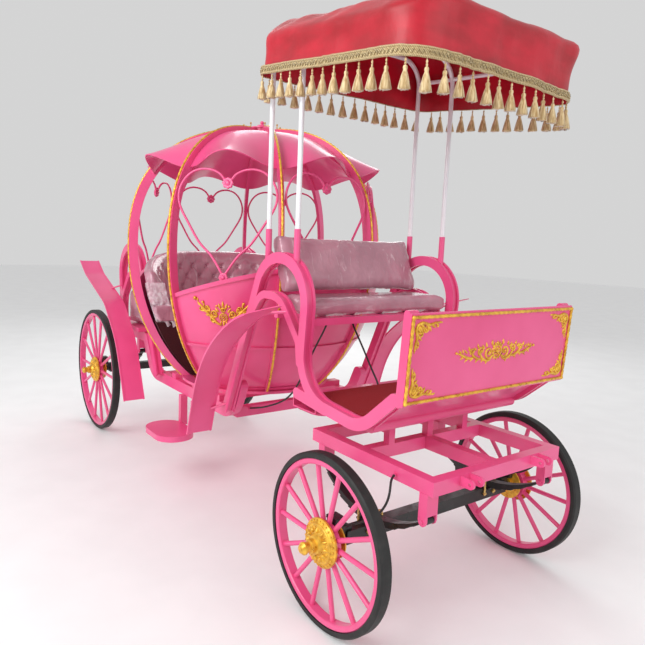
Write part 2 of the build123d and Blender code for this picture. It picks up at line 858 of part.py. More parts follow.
def roof_bay(angle):
    """One lobe of the roof, flared to an arched lip between its two ribs."""
    rows = []
    for i in range(9):
        rows.append([roof_point(-1 + 2 * j / 10, 0.06 + 0.94 * i / 8) for j in range(11)])
    face = Face.make_surface_from_array_of_points(rows)
    lobe = Solid.thicken(face, -roof_thickness)
    return Pos(body_x, 0, 0) * Rot(0, 0, angle) * lobe


def crown_finial():
    """Cap over the rib ends with a small turned ball."""
    low = rib_top_z
    profile = Polyline(
        (0, low - 70), (66, low - 70), (66, low + 4), (80, low + 6), (80, low + 14), (52, low + 20),
        (34, low + 24), (30, low + 32), (10, low + 34), (10, low + 40), (0, low + 40), (0, low - 70),
    )
    cap = revolve(Plane.XZ * make_face(profile.edges()), Axis.Z)
    cap += Pos(0, 0, low + 48) * Sphere(13)
    return Pos(body_x, 0, 0) * cap


def heart(angle):
    """Wire heart in a bay, drawn as (across, z) and leaned in with the ribs."""
    lobe_z = eave_rib_z - 18
    dip_z = lobe_z - 67
    low_z = waist_z - heart_drop
    left = FilletPolyline(
        (14, dip_z - 12),
        (52, lobe_z),
        (heart_half_width - 22, lobe_z),
        (heart_half_width + 8, lobe_z - 196),
        (14, low_z),
        radius=[90, 145, 150],
    )
    upright = Plane(origin=(0, 0, 0), x_dir=(0, 1, 0), z_dir=(1, 0, 0)) * left
    section = Plane(origin=upright @ 0, z_dir=upright % 0) * RegularPolygon(heart_wire, 6)
    wire = sweep(section, path=upright)
    knob = Pos(0, 0, dip_z - 8) * Rot(0, 90, 0) * Cylinder(30, 16)
    tip = Pos(0, 0, low_z - 6) * Rot(0, 90, 0) * Cylinder(20, 16)
    shape = wire + mirror(wire, about=Plane.XZ) + knob + tip
    leaned = Pos(0, 0, low_z) * Rot(0, -6, 0) * Pos(0, 0, -low_z) * shape
    return Pos(body_x, 0, 0) * Rot(0, 0, angle) * Pos(body_radius - 58, 0, 0) * leaned


def seat_ring(inset, z_low, z_high):
    """Solid that fills the body out to an inset from the outline."""
    points = outline_points(z_low, z_high, inset, 5)
    inside = Polyline(points[-1], (0, z_high), (0, z_low), points[0])
    face = make_face(Spline(*points).edges() + inside.edges())
    return Pos(body_x, 0, 0) * revolve(Plane.XZ * face, Axis.Z)


def behind(x):
    """Everything behind a cross plane."""
    return box(body_x - 1000, body_x + x, -1000, 1000, 500, 1700)


def sofa_base():
    """Upholstered box under the round rear seat."""
    return seat_ring(rib_depth + 14, floor_z + carpet_thickness + 1, 1080) & behind(-120)


def sofa_seat():
    """Simple solid of the D-shaped seat cushion."""
    return seat_ring(rib_depth + 16, 1082, 1190) & behind(-90)


def sofa_back():
    """Simple solid of the curved seat back, round the rear of the seat."""
    outer = seat_ring(rib_depth + sofa_gap, 1193, 1545)
    inner = seat_ring(rib_depth + sofa_gap + 88, 1180, 1560)
    end_x = -3000 * cos(radians(sofa_half_angle))
    end_y = 3000 * sin(radians(sofa_half_angle))
    front = Polyline((0, 0), (end_x, end_y), (3000, 3000), (3000, -3000), (end_x, -end_y), close=True)
    cut = Pos(body_x, 0, 1100) * extrude(make_face(front.edges()), 600, dir=(0, 0, 1))
    return outer - inner - cut


# ---------------------------------------------------------------- perch and rear

def perch_rail():
    """Left drop rail: rear platform, down behind the body, under it and up at the front."""
    path = FilletPolyline(
        (perch_rear_x, perch_rear_z),
        (perch_rise_x, perch_rear_z),
        (perch_rise_x + 160, perch_low_z),
        (-1165, perch_low_z),
        (-1082, 790),
        radius=[60, 170, 160],
    )
    return slab(band(path, perch_height), perch_y - perch_width / 2, perch_y + perch_width / 2)


def perch_frame():
    """Both drop rails, their cross tubes and the rear spring hangers."""
    inner = perch_y - perch_width / 2
    frame = perch_rail() + mirror(perch_rail(), about=Plane.XZ)
    low = perch_low_z - perch_height / 2
    for x in (perch_rise_x + 300, -1190):
        frame += box(x - 25, x + 25, -inner - 1, inner + 1, low + 6, low + 66)
    low = perch_rear_z - perch_height / 2
    for x in (perch_rise_x - 40, -wheelbase, perch_rear_x + 25):
        frame += box(x - 25, x + 25, -inner - 1, inner + 1, low + 6, low + 66)
    for eye in (rear_spring_front, rear_spring_rear):
        spot = (eye[0] - wheelbase, eye[1])
        for solid in both_sides(hanger(spot, low + 1, spot[0] - 24, spot[0] + 24)):
            frame += solid
    return frame + gland(rear_cable_route[-1], rear_cable_route[-2])


def turned(point):
    """A point of the driver's side frame carried over to the rear, turned to face back."""
    return (2 * body_x - point[0], point[1])


def rear_loop_path():
    """Loop behind the body, the driver's loop turned round, standing on the platform."""
    foot_z = platform_top + side_strip / 2 + 0.3
    corners = [turned(point) for point in loop_corners()]
    leg = turned((rail_rear_x + 8, foot_z))
    return FilletPolyline(*corners, leg, radius=[loop_radius, loop_radius])


def rear_arch_path():
    """Second arch of the rear side, the driver's second arch turned round."""
    return mirror(second_arch_path(), about=Plane(origin=(body_x, 0, 0), z_dir=(1, 0, 0)))


def rear_side():
    """Left loop behind the body, from the perch rail to the rear platform."""
    frame = grooved(rear_loop_path(), side_strip)
    frame += grooved(rear_arch_path(), arch_strip)
    pad = strut_pad(loop_corners()[0][0])
    return frame + mirror(pad, about=Plane(origin=(body_x, 0, 0), z_dir=(1, 0, 0)))


def rear_platform():
    """Board across the perch that carries the rear seat."""
    x_rear = body_x - platform_rear
    x_front = body_x - platform_front
    bottom = platform_top - platform_thickness
    return box(x_rear, x_front, -side_outer_y, side_outer_y, bottom, platform_top)


def rear_cushion():
    """Simple solid of the padded rear seat."""
    x_rear = body_x - platform_rear + 70
    x_front = body_x - platform_front - 65
    width = seat_half_width
    block = box(x_rear, x_front, -width, width, platform_top + 1, platform_top + 270)
    return fillet(block.edges().filter_by(Axis.Y), 30)


# ---------------------------------------------------------------- fenders and steps

def fender(path):
    """Curved strip with a rolled bead along each edge."""
    low = half_track - fender_width / 2
    high = half_track + fender_width / 2
    sheet = slab(band(path, fender_sheet), low, high)
    sheet += slab(band(path, fender_bead), low, low + fender_bead)
    sheet += slab(band(path, fender_bead), high - fender_bead, high)
    return sheet


def front_fender():
    """Left fender behind the front wheel, pointed at its upper end, with its two braces."""
    solid = fender(FilletPolyline((-383, 1340), (-747, 1238), (-1088, 960), (-1226, 510), radius=[941, 721]))
    half = fender_width / 2 + 1
    leaf = make_face(
        Polyline((-1400, half), (-690, half)).edges()
        + ThreePointArc((-690, half), (-510, 44), (-384, 0)).edges()
        + ThreePointArc((-384, 0), (-510, -44), (-690, -half)).edges()
        + Polyline((-690, -half), (-1400, -half), (-1400, half)).edges()
    )
    solid = solid & Pos(0, half_track, 400) * extrude(leaf, 1100, dir=(0, 0, 1))
    side_face = side_outer_y + 0.5
    upper = rod((-700, half_track, 1262), (-528, side_face - 12, 1290), 8)
    solid += upper & box(-900, 0, side_face, 700, 1000, 1500)
    lower = rod((-1178, 590, 655), (-1120, side_face - 12, 690), 7)
    return solid + (lower & box(-1300, 0, side_face, 700, 500, 900))


def rear_fender():
    """Left fender in front of the rear wheel with its brace rod."""
    x = -wheelbase
    curve = FilletPolyline(
        (x - 212, 1403),
        (x - 70, 1305),
        (x + 440, 1110),
        (x + 710, 850),
        (x + 882, 441),
        radius=[200, 300, 640],
    )
    side_face = side_outer_y + 0.5
    leg = turned((rail_rear_x + 10, 1235))
    brace = rod((x + 200, 585, 1201), (leg[0], side_face - 12, leg[1]), 6)
    return fender(curve) + (brace & box(x - 400, x + 900, side_face, 700, 900, 1400))


def step():
    """Left round-ended step plate hung from the perch by two posts."""
    plate = RectangleRounded(step_length, step_width, step_width / 2 - 5)
    solid = Pos(step_x, step_y, step_z - 9) * extrude(plate, 18, both=True)
    top = perch_low_z - perch_height / 2 - 0.3
    for x in (step_x - step_post, step_x + step_post):
        solid += box(x - 18, x + 18, perch_y + 2, perch_y + 50, step_z - 9, top)
    return solid


def main():
    """Build and write every piece."""
    for name, radius, x, side in (
        ("front_left", front_wheel_radius, 0, 1),
        ("front_right", front_wheel_radius, 0, -1),
        ("rear_left", rear_wheel_radius, -wheelbase, 1),
        ("rear_right", rear_wheel_radius, -wheelbase, -1),
    ):
        save_wheel(name, radius, x, side)
    save("front_axle", axle(0, front_wheel_radius))
    save("rear_axle", axle(-wheelbase, rear_wheel_radius))
    front_spring = leaf_spring(0, front_seat_z, front_spring_front, front_spring_rear)
    rear_spring = leaf_spring(-wheelbase, rear_seat_z, rear_spring_front, rear_spring_rear)
    save("front_springs", *both_sides(front_spring))
    save("rear_springs", *both_sides(rear_spring))
    save("bogie_frame", *bogie_frame())
    save("turntable_stand", turntable_stand())
    save("turntable_bearing", turntable_bearing())

    save("driver_sides", *both_sides(driver_side()))
    save("driver_underframe", driver_underframe())
    save("driver_floor", driver_floor())
    save("carpets", driver_carpet(), body_carpet())
    save("dash_board", dash_board())
    save("driver_seat_frame", driver_seat_frame())
    save("driver_cushion", driver_cushion())
    save("driver_backrest", driver_backrest())
    save("canopy_frame", canopy_frame())
    save("canopy_cloth", canopy_cloth())

    save("body_ribs", *ribs())
    save("lower_panels", *[lower_panel(angle) for angle in (0, 45, 135, 180, 225, 315)])
    save("body_floor", body_floor())
    save("roof_lobes", *[roof_bay(45 * index) for index in range(8)])
    save("crown_finial", crown_finial())
    save("heart_wires", *[heart(angle) for angle in (0, 45, 135, 180, 225, 315)])
    save("sofa_base", sofa_base())
    save("sofa_seat", sofa_seat())
    save("sofa_back", sofa_back())

    save("perch_frame", perch_frame())
    save("rear_sides", *both_sides(rear_side()))
    save("rear_platform", rear_platform())
    save("rear_cushion", rear_cushion())
    save("front_fenders", *both_sides(front_fender()))
    save("rear_fenders", *both_sides(rear_fender()))
    save("steps", *both_sides(step()))

    save("seat_cable_rear", cord(rear_cable_route))
    save("seat_cable_front", cord(front_cable_route))
    left_hose, right_hose = both_sides(cord(hose_route))
    save("brake_hose_left", left_hose)
    save("brake_hose_right", right_hose)


main()
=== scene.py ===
import math

import bpy
import numpy as np
from mathutils import Matrix, Vector, noise


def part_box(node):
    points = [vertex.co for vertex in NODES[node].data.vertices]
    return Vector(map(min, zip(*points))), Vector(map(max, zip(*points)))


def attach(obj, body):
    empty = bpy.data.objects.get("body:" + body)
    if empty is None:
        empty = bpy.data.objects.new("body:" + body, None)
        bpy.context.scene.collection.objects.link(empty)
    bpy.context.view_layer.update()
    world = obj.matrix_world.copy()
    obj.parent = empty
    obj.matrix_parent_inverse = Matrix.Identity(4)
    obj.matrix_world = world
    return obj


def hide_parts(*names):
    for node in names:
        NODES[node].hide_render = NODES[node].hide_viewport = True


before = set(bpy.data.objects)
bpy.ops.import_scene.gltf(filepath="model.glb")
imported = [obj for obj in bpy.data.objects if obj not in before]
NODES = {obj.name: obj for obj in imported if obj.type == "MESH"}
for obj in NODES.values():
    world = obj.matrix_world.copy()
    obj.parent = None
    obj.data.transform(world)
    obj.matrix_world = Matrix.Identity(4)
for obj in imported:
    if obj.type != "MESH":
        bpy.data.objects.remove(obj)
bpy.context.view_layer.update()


def middle_of(node):
    """Middle of a node's box."""
    low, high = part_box(node)
    return (low + high) / 2


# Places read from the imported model. Lengths are in metres throughout, unless a comment says millimetres.
BODY_AXIS = middle_of("body_ribs")
FRONT_X = middle_of("front_axle").x

SIDES = (-1, 1)


# ---------------- camera and light

CAMERA_PLACE = (3.481, -2.114, 1.617)
CAMERA_TURN = (144.22, 7.75, 2.16)
CAMERA_LENS = 33.28
CAMERA_SHIFT = (0.0243, 0.0042)


def add_camera():
    """Camera at the photograph's viewing angle, turned by its yaw, pitch and roll."""
    yaw, pitch, roll = (math.radians(turn) for turn in CAMERA_TURN)
    forward = Vector((math.cos(yaw) * math.cos(pitch), math.sin(yaw) * math.cos(pitch), -math.sin(pitch)))
    level = Vector((math.sin(yaw), -math.cos(yaw), 0))
    upright = level.cross(forward)
    side = level * math.cos(roll) + upright * math.sin(roll)
    top = upright * math.cos(roll) - level * math.sin(roll)
    data = bpy.data.cameras.new("camera")
    data.sensor_width = 36
    data.lens = CAMERA_LENS
    data.shift_x, data.shift_y = CAMERA_SHIFT
    camera = bpy.data.objects.new("camera", data)
    bpy.context.collection.objects.link(camera)
    turned = Matrix((side, top, -forward)).transposed().to_4x4()
    camera.matrix_world = Matrix.Translation(CAMERA_PLACE) @ turned
    bpy.context.scene.camera = camera


def add_area_light(name, place, aim, size, power):
    """Square soft light at a place, aimed at a point."""
    data = bpy.data.lights.new(name, "AREA")
    data.size = size
    data.energy = power
    light = bpy.data.objects.new(name, data)
    light.location = place
    light.rotation_mode = "QUATERNION"
    light.rotation_quaternion = (Vector(aim) - Vector(place)).to_track_quat("-Z", "Y")
    bpy.context.collection.objects.link(light)


def add_studio():
    """Pale floor, white surroundings and three soft lights."""
    world = bpy.data.worlds.new("studio")
    world.use_nodes = True
    surroundings = world.node_tree.nodes["Background"].inputs
    surroundings["Color"].default_value = (1, 1, 1, 1)
    surroundings["Strength"].default_value = 0.66
    bpy.context.scene.world = world
    bpy.context.scene.view_settings.view_transform = "Standard"
    bpy.ops.mesh.primitive_plane_add(size=60, location=(0, 0, -0.0005))
    floor = bpy.context.object
    floor.name = "floor"
    made = Finish("floor_white", (0.93, 0.93, 0.935), 0.75)
    made.vary_colour(made.texture("Noise", 3.0), (0.91, 0.91, 0.915), (0.94, 0.94, 0.945))
    floor.data.materials.append(made.material)
    middle = (0.2, 0, 1.0)
    add_area_light("key", (1.6, -5.5, 4.2), middle, 4.0, 250)
    add_area_light("fill", (6.5, 0.5, 3.0), middle, 4.0, 60)
    add_area_light("back", (-4.5, 4.0, 4.5), middle, 4.0, 120)


# ---------------- materials

class Finish:
    """A new procedural material, with its plain values set on the shader itself."""

    def __init__(self, name, colour, roughness, metallic=0.0, coat=0.0, sheen=0.0):
        self.material = bpy.data.materials.new(name)
        self.material.use_nodes = True
        self.nodes = self.material.node_tree.nodes
        self.links = self.material.node_tree.links
        self.surface = self.nodes["Principled BSDF"]
        self.plain("Base Color", (*colour, 1))
        self.plain("Roughness", roughness)
        self.plain("Metallic", metallic)
        self.plain("Coat Weight", coat)
        self.plain("Coat Roughness", 0.12)
        self.plain("Sheen Weight", sheen)

    def plain(self, socket, value):
        """Set one value that is the same all over."""
        self.surface.inputs[socket].default_value = value

    def texture(self, kind, scale, detail=4.0, stretch=(1, 1, 1)):
        """A texture node on the object's own coordinates."""
        coordinates = self.nodes.new("ShaderNodeTexCoord")
        mapping = self.nodes.new("ShaderNodeMapping")
        mapping.inputs["Scale"].default_value = stretch
        node = self.nodes.new("ShaderNodeTex" + kind)
        node.inputs["Scale"].default_value = scale
        if "Detail" in node.inputs:
            node.inputs["Detail"].default_value = detail
        self.links.new(coordinates.outputs["Object"], mapping.inputs["Vector"])
        self.links.new(mapping.outputs["Vector"], node.inputs["Vector"])
        return node

    def spread(self, node, low, high, start=0.35, end=0.65):
        """Map a texture's value from its usual range to low..high."""
        mapped = self.nodes.new("ShaderNodeMapRange")
        for socket, value in (("From Min", start), ("From Max", end), ("To Min", low), ("To Max", high)):
            mapped.inputs[socket].default_value = value
        self.links.new(value_output(node), mapped.inputs["Value"])
        return mapped.outputs["Result"]

    def mix(self, share, light):
        """A colour mix towards a light colour, by the share that comes in."""
        node = self.nodes.new("ShaderNodeMix")
        node.data_type = "RGBA"
        node.inputs["B"].default_value = (*light, 1)
        self.links.new(share, node.inputs["Factor"])
        self.links.new(node.outputs["Result"], self.surface.inputs["Base Color"])
        return node

    def vary_colour(self, node, dark, light, start=0.35, end=0.65):
        """Let the texture move the base colour between two colours."""
        mixed = self.mix(self.spread(node, 0, 1, start, end), light)
        mixed.inputs["A"].default_value = (*dark, 1)
        return mixed

    def vary_roughness(self, node, low, high):
        """Let the texture move the roughness between two values."""
        self.links.new(self.spread(node, low, high), self.surface.inputs["Roughness"])

    def bump(self, node, distance, strength):
        """Raise the surface by the texture, on top of any bump it already has."""
        bump = self.nodes.new("ShaderNodeBump")
        bump.inputs["Distance"].default_value = distance
        bump.inputs["Strength"].default_value = strength
        self.links.new(value_output(node), bump.inputs["Height"])
        before = self.surface.inputs["Normal"].links
        if before:
            self.links.new(before[0].from_socket, bump.inputs["Normal"])
        self.links.new(bump.outputs["Normal"], self.surface.inputs["Normal"])


def value_output(node):
    """The texture's value output."""
    for name in ("Fac", "Distance"):
        if name in node.outputs:
            return node.outputs[name]
    return node.outputs[0]


LEATHER_DARK = (0.42, 0.19, 0.25)
LEATHER_LIGHT = (0.54, 0.27, 0.34)
# Share of white mixed into the wrapped leather's colour as painted highlights of the film.
FILM_PAINTED_HIGHLIGHTS = 0.5


def painted(name, dark, light, roughness=0.34, coat=0.35):
    """Glossy enamel with slow changes of tone and a faint orange-peel skin."""
    made = Finish(name, light, roughness, coat=coat)
    clouds = made.texture("Noise", 2.2, 3)
    made.vary_colour(clouds, dark, light)
    patches = made.texture("Noise", 5, 1)
    made.vary_roughness(patches, roughness - 0.04, roughness + 0.06)
    made.bump(made.texture("Noise", 90, 1), 0.0002, 0.15)
    return made.material


def gilded(name, dark, light, grain=140, depth=0.0003):
    """Gold paint with darker patches painted as shade in its recesses, and a rough cast skin."""
    made = Finish(name, light, 0.34, metallic=0.55, coat=0.3)
    # Painted shade: the colour darkens in these patches, and the roughness follows them.
    painted_shade_patches = made.texture("Noise", grain * 0.25, 3)
    made.vary_colour(painted_shade_patches, dark, light)
    made.vary_roughness(painted_shade_patches, 0.26, 0.46)
    made.bump(made.texture("Noise", grain, 3), depth, 0.5)
    return made.material


def rubber(name, tone, roughness, grain):
    """Dull black rubber with a fine grain and pale dust in places."""
    black, dusty = (tone, tone, tone), (tone * 2.6, tone * 2.6, tone * 2.5)
    made = Finish(name, black, roughness)
    dust = made.texture("Noise", 14, 6)
    made.vary_colour(dust, black, dusty, 0.45, 0.8)
    made.bump(made.texture("Noise", grain, 4), 0.0006, 0.5)
    return made.material


def satin(name):
    """Bright red satin: a close weave, a soft sheen and darker patches painted as the shade in its folds."""
    made = Finish(name, (0.50, 0.002, 0.018), 0.40, coat=0.05, sheen=0.05)
    made.plain("Sheen Tint", (1, 0.35, 0.4, 1))
    # Painted shade: the colour darkens in patches to stand for shade in the folds.
    clouds = made.texture("Noise", 5, 4, (1, 1, 2.4))
    made.vary_colour(clouds, (0.36, 0.001, 0.010), (0.54, 0.003, 0.022))
    made.bump(made.texture("Wave", 420, 1), 0.0002, 0.3)
    made.bump(made.texture("Noise", 38, 4, (1, 1, 0.5)), 0.003, 0.35)
    return made.material


def carpet(name, dark, light):
    """Short cut pile: tufts as a fine cell pattern."""
    made = Finish(name, light, 0.95, sheen=0.1)
    made.plain("Sheen Tint", (1, 0.2, 0.2, 1))
    tufts = made.texture("Voronoi", 210)
    made.vary_colour(tufts, light, dark, 0.1, 0.7)
    made.bump(tufts, 0.004, 1.0)
    made.bump(made.texture("Noise", 30, 5), 0.004, 0.6)
    return made.material


def wrapped(name, stretch):
    """Upholstery leather under clear film: white streaks painted in as the film's highlights, wrinkles and a
    wet gloss.
    """
    made = Finish(name, LEATHER_LIGHT, 0.4, coat=0.85)
    made.plain("Coat Roughness", 0.1)
    tone = made.texture("Noise", 6, 4)
    base = made.vary_colour(tone, LEATHER_DARK, LEATHER_LIGHT)
    film = made.texture("Noise", 26, 9, stretch)
    film.inputs["Distortion"].default_value = 0.8
    # Painted highlights: white is mixed into the colour where the film's noise is high; the same noise
    # raises the wrinkles.
    white = made.mix(made.spread(film, 0, FILM_PAINTED_HIGHLIGHTS, 0.60, 0.74), (0.88, 0.82, 0.85))
    made.links.new(base.outputs["Result"], white.inputs["A"])
    made.bump(film, 0.010, 0.55)
    made.bump(made.texture("Voronoi", 420), 0.0004, 0.3)
    return made.material


def black_steel(name, tone, roughness):
    """Dull painted metal with faint marks."""
    colour = (tone, tone, tone)
    made = Finish(name, colour, roughness)
    marks = made.texture("Noise", 22, 6)
    made.vary_colour(marks, colour, tuple(part * 1.5 for part in colour), 0.4, 0.75)
    made.vary_roughness(marks, roughness - 0.08, roughness + 0.12)
    made.bump(made.texture("Noise", 180, 3), 0.0004, 0.4)
    return made.material


def make_materials():
    """Every finish, by a plain name."""
    return {
        "pink": painted("pink_enamel", (0.76, 0.070, 0.225), (0.85, 0.100, 0.285)),
        "gold": gilded("gold_paint", (0.62, 0.30, 0.02), (0.92, 0.56, 0.06)),
        "brass": gilded("brass_plate", (0.45, 0.26, 0.05), (0.85, 0.60, 0.22), 400, 0.0004),
        "black": black_steel("black_paint", 0.012, 0.35),
        "white": painted("white_coat", (0.80, 0.82, 0.86), (0.88, 0.89, 0.92), 0.25, 0.4),
        "tyre": rubber("tyre_rubber", 0.010, 0.6, 300),
        "hose": rubber("hose_rubber", 0.014, 0.5, 500),
        "satin": satin("red_satin"),
        "carpet": carpet("red_carpet", (0.34, 0.0, 0.006), (0.74, 0.002, 0.018)),
        "seat": wrapped("wrapped_leather", (1, 1, 0.22)),
        "seat_flat": wrapped("wrapped_leather_flat", (1, 0.2, 1)),
        "lining": carpet("dark_red_lining", (0.05, 0.0, 0.004), (0.16, 0.0, 0.01)),
        "braid": braid("gold_braid"),
        "tassel": tassel_thread("gold_thread"),
        "film": film("clear_film"),
    }


def braid(name):
    """Woven metallic braid with a darker zigzag."""
    made = Finish(name, (0.75, 0.58, 0.28), 0.5, metallic=0.25, sheen=0.3)
    weave = made.texture("Wave", 60, 2.0)
    weave.wave_type = "BANDS"
    weave.bands_direction = "DIAGONAL"
    weave.inputs["Distortion"].default_value = 2.0
    made.vary_colour(weave, (0.30, 0.18, 0.06), (0.80, 0.64, 0.34), 0.1, 0.5)
    made.bump(weave, 0.002, 0.8)
    made.bump(made.texture("Voronoi", 330), 0.001, 0.7)
    return made.material


def tassel_thread(name):
    """Shiny cream thread."""
    made = Finish(name, (0.78, 0.58, 0.28), 0.55, sheen=0.5)
    threads = made.texture("Noise", 160, 3, (1, 1, 0.06))
    made.vary_colour(threads, (0.42, 0.24, 0.07), (0.86, 0.68, 0.38))
    made.bump(threads, 0.002, 0.8)
    return made.material


def film(name):
    """Crumpled clear plastic film, with painted highlights that whiten its crumples."""
    made = Finish(name, (0.95, 0.88, 0.91), 0.18, coat=0.5)
    made.plain("Alpha", 0.55)
    crumple = made.texture("Noise", 40, 6)
    # Painted highlights: the colour runs to white with the same noise that raises the crumples.
    made.vary_colour(crumple, (0.75, 0.55, 0.62), (1.0, 0.97, 0.98))
    made.bump(crumple, 0.006, 0.8)
    return made.material


def paint_frame(finish):
    """Give every CAD piece that stays in view its finish."""
    chosen = {
        "black": ("front_axle", "rear_axle", "front_springs", "rear_springs", "turntable_bearing"),
        "white": ("canopy_frame",),
        "satin": ("canopy_cloth",),
        "carpet": ("carpets",),
        "seat_flat": ("driver_cushion",),
        "seat": ("driver_backrest", "rear_cushion", "sofa_seat", "sofa_back"),
        "lining": ("sofa_base",),
    }
    finish_of = {name: key for key, names in chosen.items() for name in names}
    for name, node in NODES.items():
        key = finish_of.get(name, "pink")
        if name.endswith("_tyre"):
            key = "tyre"
        elif name.endswith("_hub"):
            key = "gold"
        elif "cable" in name or "hose" in name:
            key = "hose"
        for slot in node.material_slots:
            slot.material = finish[key]


# ---------------- mesh helpers

def add_mesh(name, points, faces, finish, body):
    """A new mesh piece that rides on a body."""
    mesh = bpy.data.meshes.new(name)
    mesh.from_pydata([tuple(point) for point in points], [], faces)
    mesh.validate()
    mesh.shade_smooth()
    mesh.materials.append(finish)
    piece = add_object(name, mesh)
    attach(piece, body)
    return piece


def add_object(name, data):
    """A new object in the scene with this mesh or curve."""
    piece = bpy.data.objects.new(name, data)
    bpy.context.collection.objects.link(piece)
    return piece


class Heap:
    """Points and faces of many small shapes that end up in one mesh."""

    def __init__(self):
        self.points = []
        self.faces = []

    def add(self, points, faces):
        """Add one shape, with its faces numbered from its own first point."""
        start = len(self.points)
        self.points.extend(points)
        self.faces.extend([tuple(start + index for index in face) for face in faces])

    def grid(self, rows, closed=False, capped=False):
        """Skin a list of equally long rows of points; closed joins each row's ends."""
        wide = len(rows[0])
        faces = []
        for i in range(len(rows) - 1):
            for j in range(wide if closed else wide - 1):
                a = i * wide + j
                b = i * wide + (j + 1) % wide
                faces.append((a, b, b + wide, a + wide))
        if capped:
            faces.append(tuple(reversed(range(wide))))
            faces.append(tuple((len(rows) - 1) * wide + j for j in range(wide)))
        self.add([point for row in rows for point in row], faces)

    def solid(self, rows):
        """Skin rows of closed rings, with both ends closed."""
        self.grid(rows, closed=True, capped=True)

    def piece(self, name, finish, body="carriage", slot="gold_paint"):
        """The finished mesh piece."""
        return add_mesh(name, self.points, self.faces, finish, body)


def circle(count):
    """Cosine and sine at evenly spaced turns."""
    turns = [2 * math.pi * k / count for k in range(count)]
    return [(math.cos(turn), math.sin(turn)) for turn in turns]


def tube_rows(path, radius, sides):
    """Rings of points round a path."""
    rows = []
    across = None
    for index, point in enumerate(path):
        after = path[min(index + 1, len(path) - 1)]
        before = path[max(index - 1, 0)]
        along = (after - before).normalized()
        if across is None:
            across = along.orthogonal()
        across = (across - along * across.dot(along)).normalized()
        other = along.cross(across)
        rows.append([point + (across * cos + other * sin) * radius for cos, sin in circle(sides)])
    return rows


def rings(heap, centre, outward, profile, sides):
    """A closed turned shape from (radius, lift) pairs, standing on a centre along a direction."""
    across = outward.orthogonal().normalized()
    other = outward.cross(across)
    rows = [
        [centre + (across * cos + other * sin) * radius + outward * lift for cos, sin in circle(sides)]
        for radius, lift in profile
    ]
    heap.solid(rows)


def smooth_curve(points, steps):
    """Catmull-Rom curve through the points."""
    made = []
    padded = [points[0] * 2 - points[1], *points, points[-1] * 2 - points[-2]]
    for i in range(1, len(padded) - 2):
        a, b, c, d = padded[i - 1], padded[i], padded[i + 1], padded[i + 2]
        for k in range(steps):
            t = k / steps
            made.append(
                0.5 * ((2 * b) + (c - a) * t + (2 * a - 5 * b + 4 * c - d) * t ** 2
                       + (3 * b - a - 3 * c + d) * t ** 3)
            )
    made.append(points[-1])
    return made


# ---------------- cables and hoses

CORD_DIAMETER = 0.010


def local(points):
    """Points in millimetres from the front axle's middle, turned into frame metres."""
    return [Vector((FRONT_X + x / 1000, y / 1000, z / 1000)) for x, y, z in points]


def add_cord(name, points, body, finish):
    """A cable or hose as one smooth curve along its route."""
    curve = bpy.data.curves.new(name, "CURVE")
    curve.dimensions = "3D"
    curve.bevel_depth = CORD_DIAMETER / 2
    curve.bevel_resolution = 4
    curve.use_fill_caps = True
    curve.resolution_u = 10
    spline = curve.splines.new("NURBS")
    spline.points.add(len(points) - 1)
    for target, point in zip(spline.points, points):
        target.co = (*point, 1)
    spline.order_u = 3
    spline.use_endpoint_u = True
    curve.materials.append(finish)
    piece = add_object(name + "_lead", curve)
    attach(piece, body)
    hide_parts(name)
    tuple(points[0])


def add_cords(finish):
    """The two cables under the driver's seat and the two brake hoses."""
    rear_cable = (
        (-620, -190, 1238), (-636, -191, 1190), (-694, -200, 1094), (-751, -220, 975), (-801, -240, 847),
        (-842, -268, 768), (-905, -288, 719), (-990, -308, 680), (-1075, -326, 648), (-1153, -340, 630),
    )
    front_cable = (
        (-672, 0, 1240), (-655, 2, 1195), (-621, 5, 1145), (-562, 7, 1072), (-503, 6, 995),
        (-452, 3, 938), (-427, 1, 912), (-415, 0, 890),
    )
    hose = (
        (174, 435, 690), (187, 462, 684), (207, 484, 664), (218, 498, 634), (216, 511, 598),
        (200, 523, 563), (170, 535, 532), (131, 549, 501), (88, 565, 474), (46, 575, 458),
    )
    add_cord("seat_cable_rear", local(rear_cable), "carriage", finish["hose"])
    add_cord("seat_cable_front", local(front_cable), "carriage", finish["hose"])
    add_cord("brake_hose_left", local(hose), "bogie", finish["hose"])
    mirrored = [(x, -y, z) for x, y, z in hose]
    add_cord("brake_hose_right", local(mirrored), "bogie", finish["hose"])


# ---------------- canopy

CLOTH_LOW, CLOTH_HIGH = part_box("canopy_cloth")
HEM_FALL = 0.130
EAVE_FRONT = CLOTH_LOW.z + 0.191
EAVE_REAR = CLOTH_LOW.z + 0.310
RIDGE_FRONT = CLOTH_LOW.z + 0.262
FRONT_CORNER = 0.149
REAR_CORNER = 0.058
HEM_POINTS = 260
WALL_LEVELS = 12
ROOF_LEVELS = 31
TASSEL_PITCH = 0.078
BRAID_PITCH = 0.009


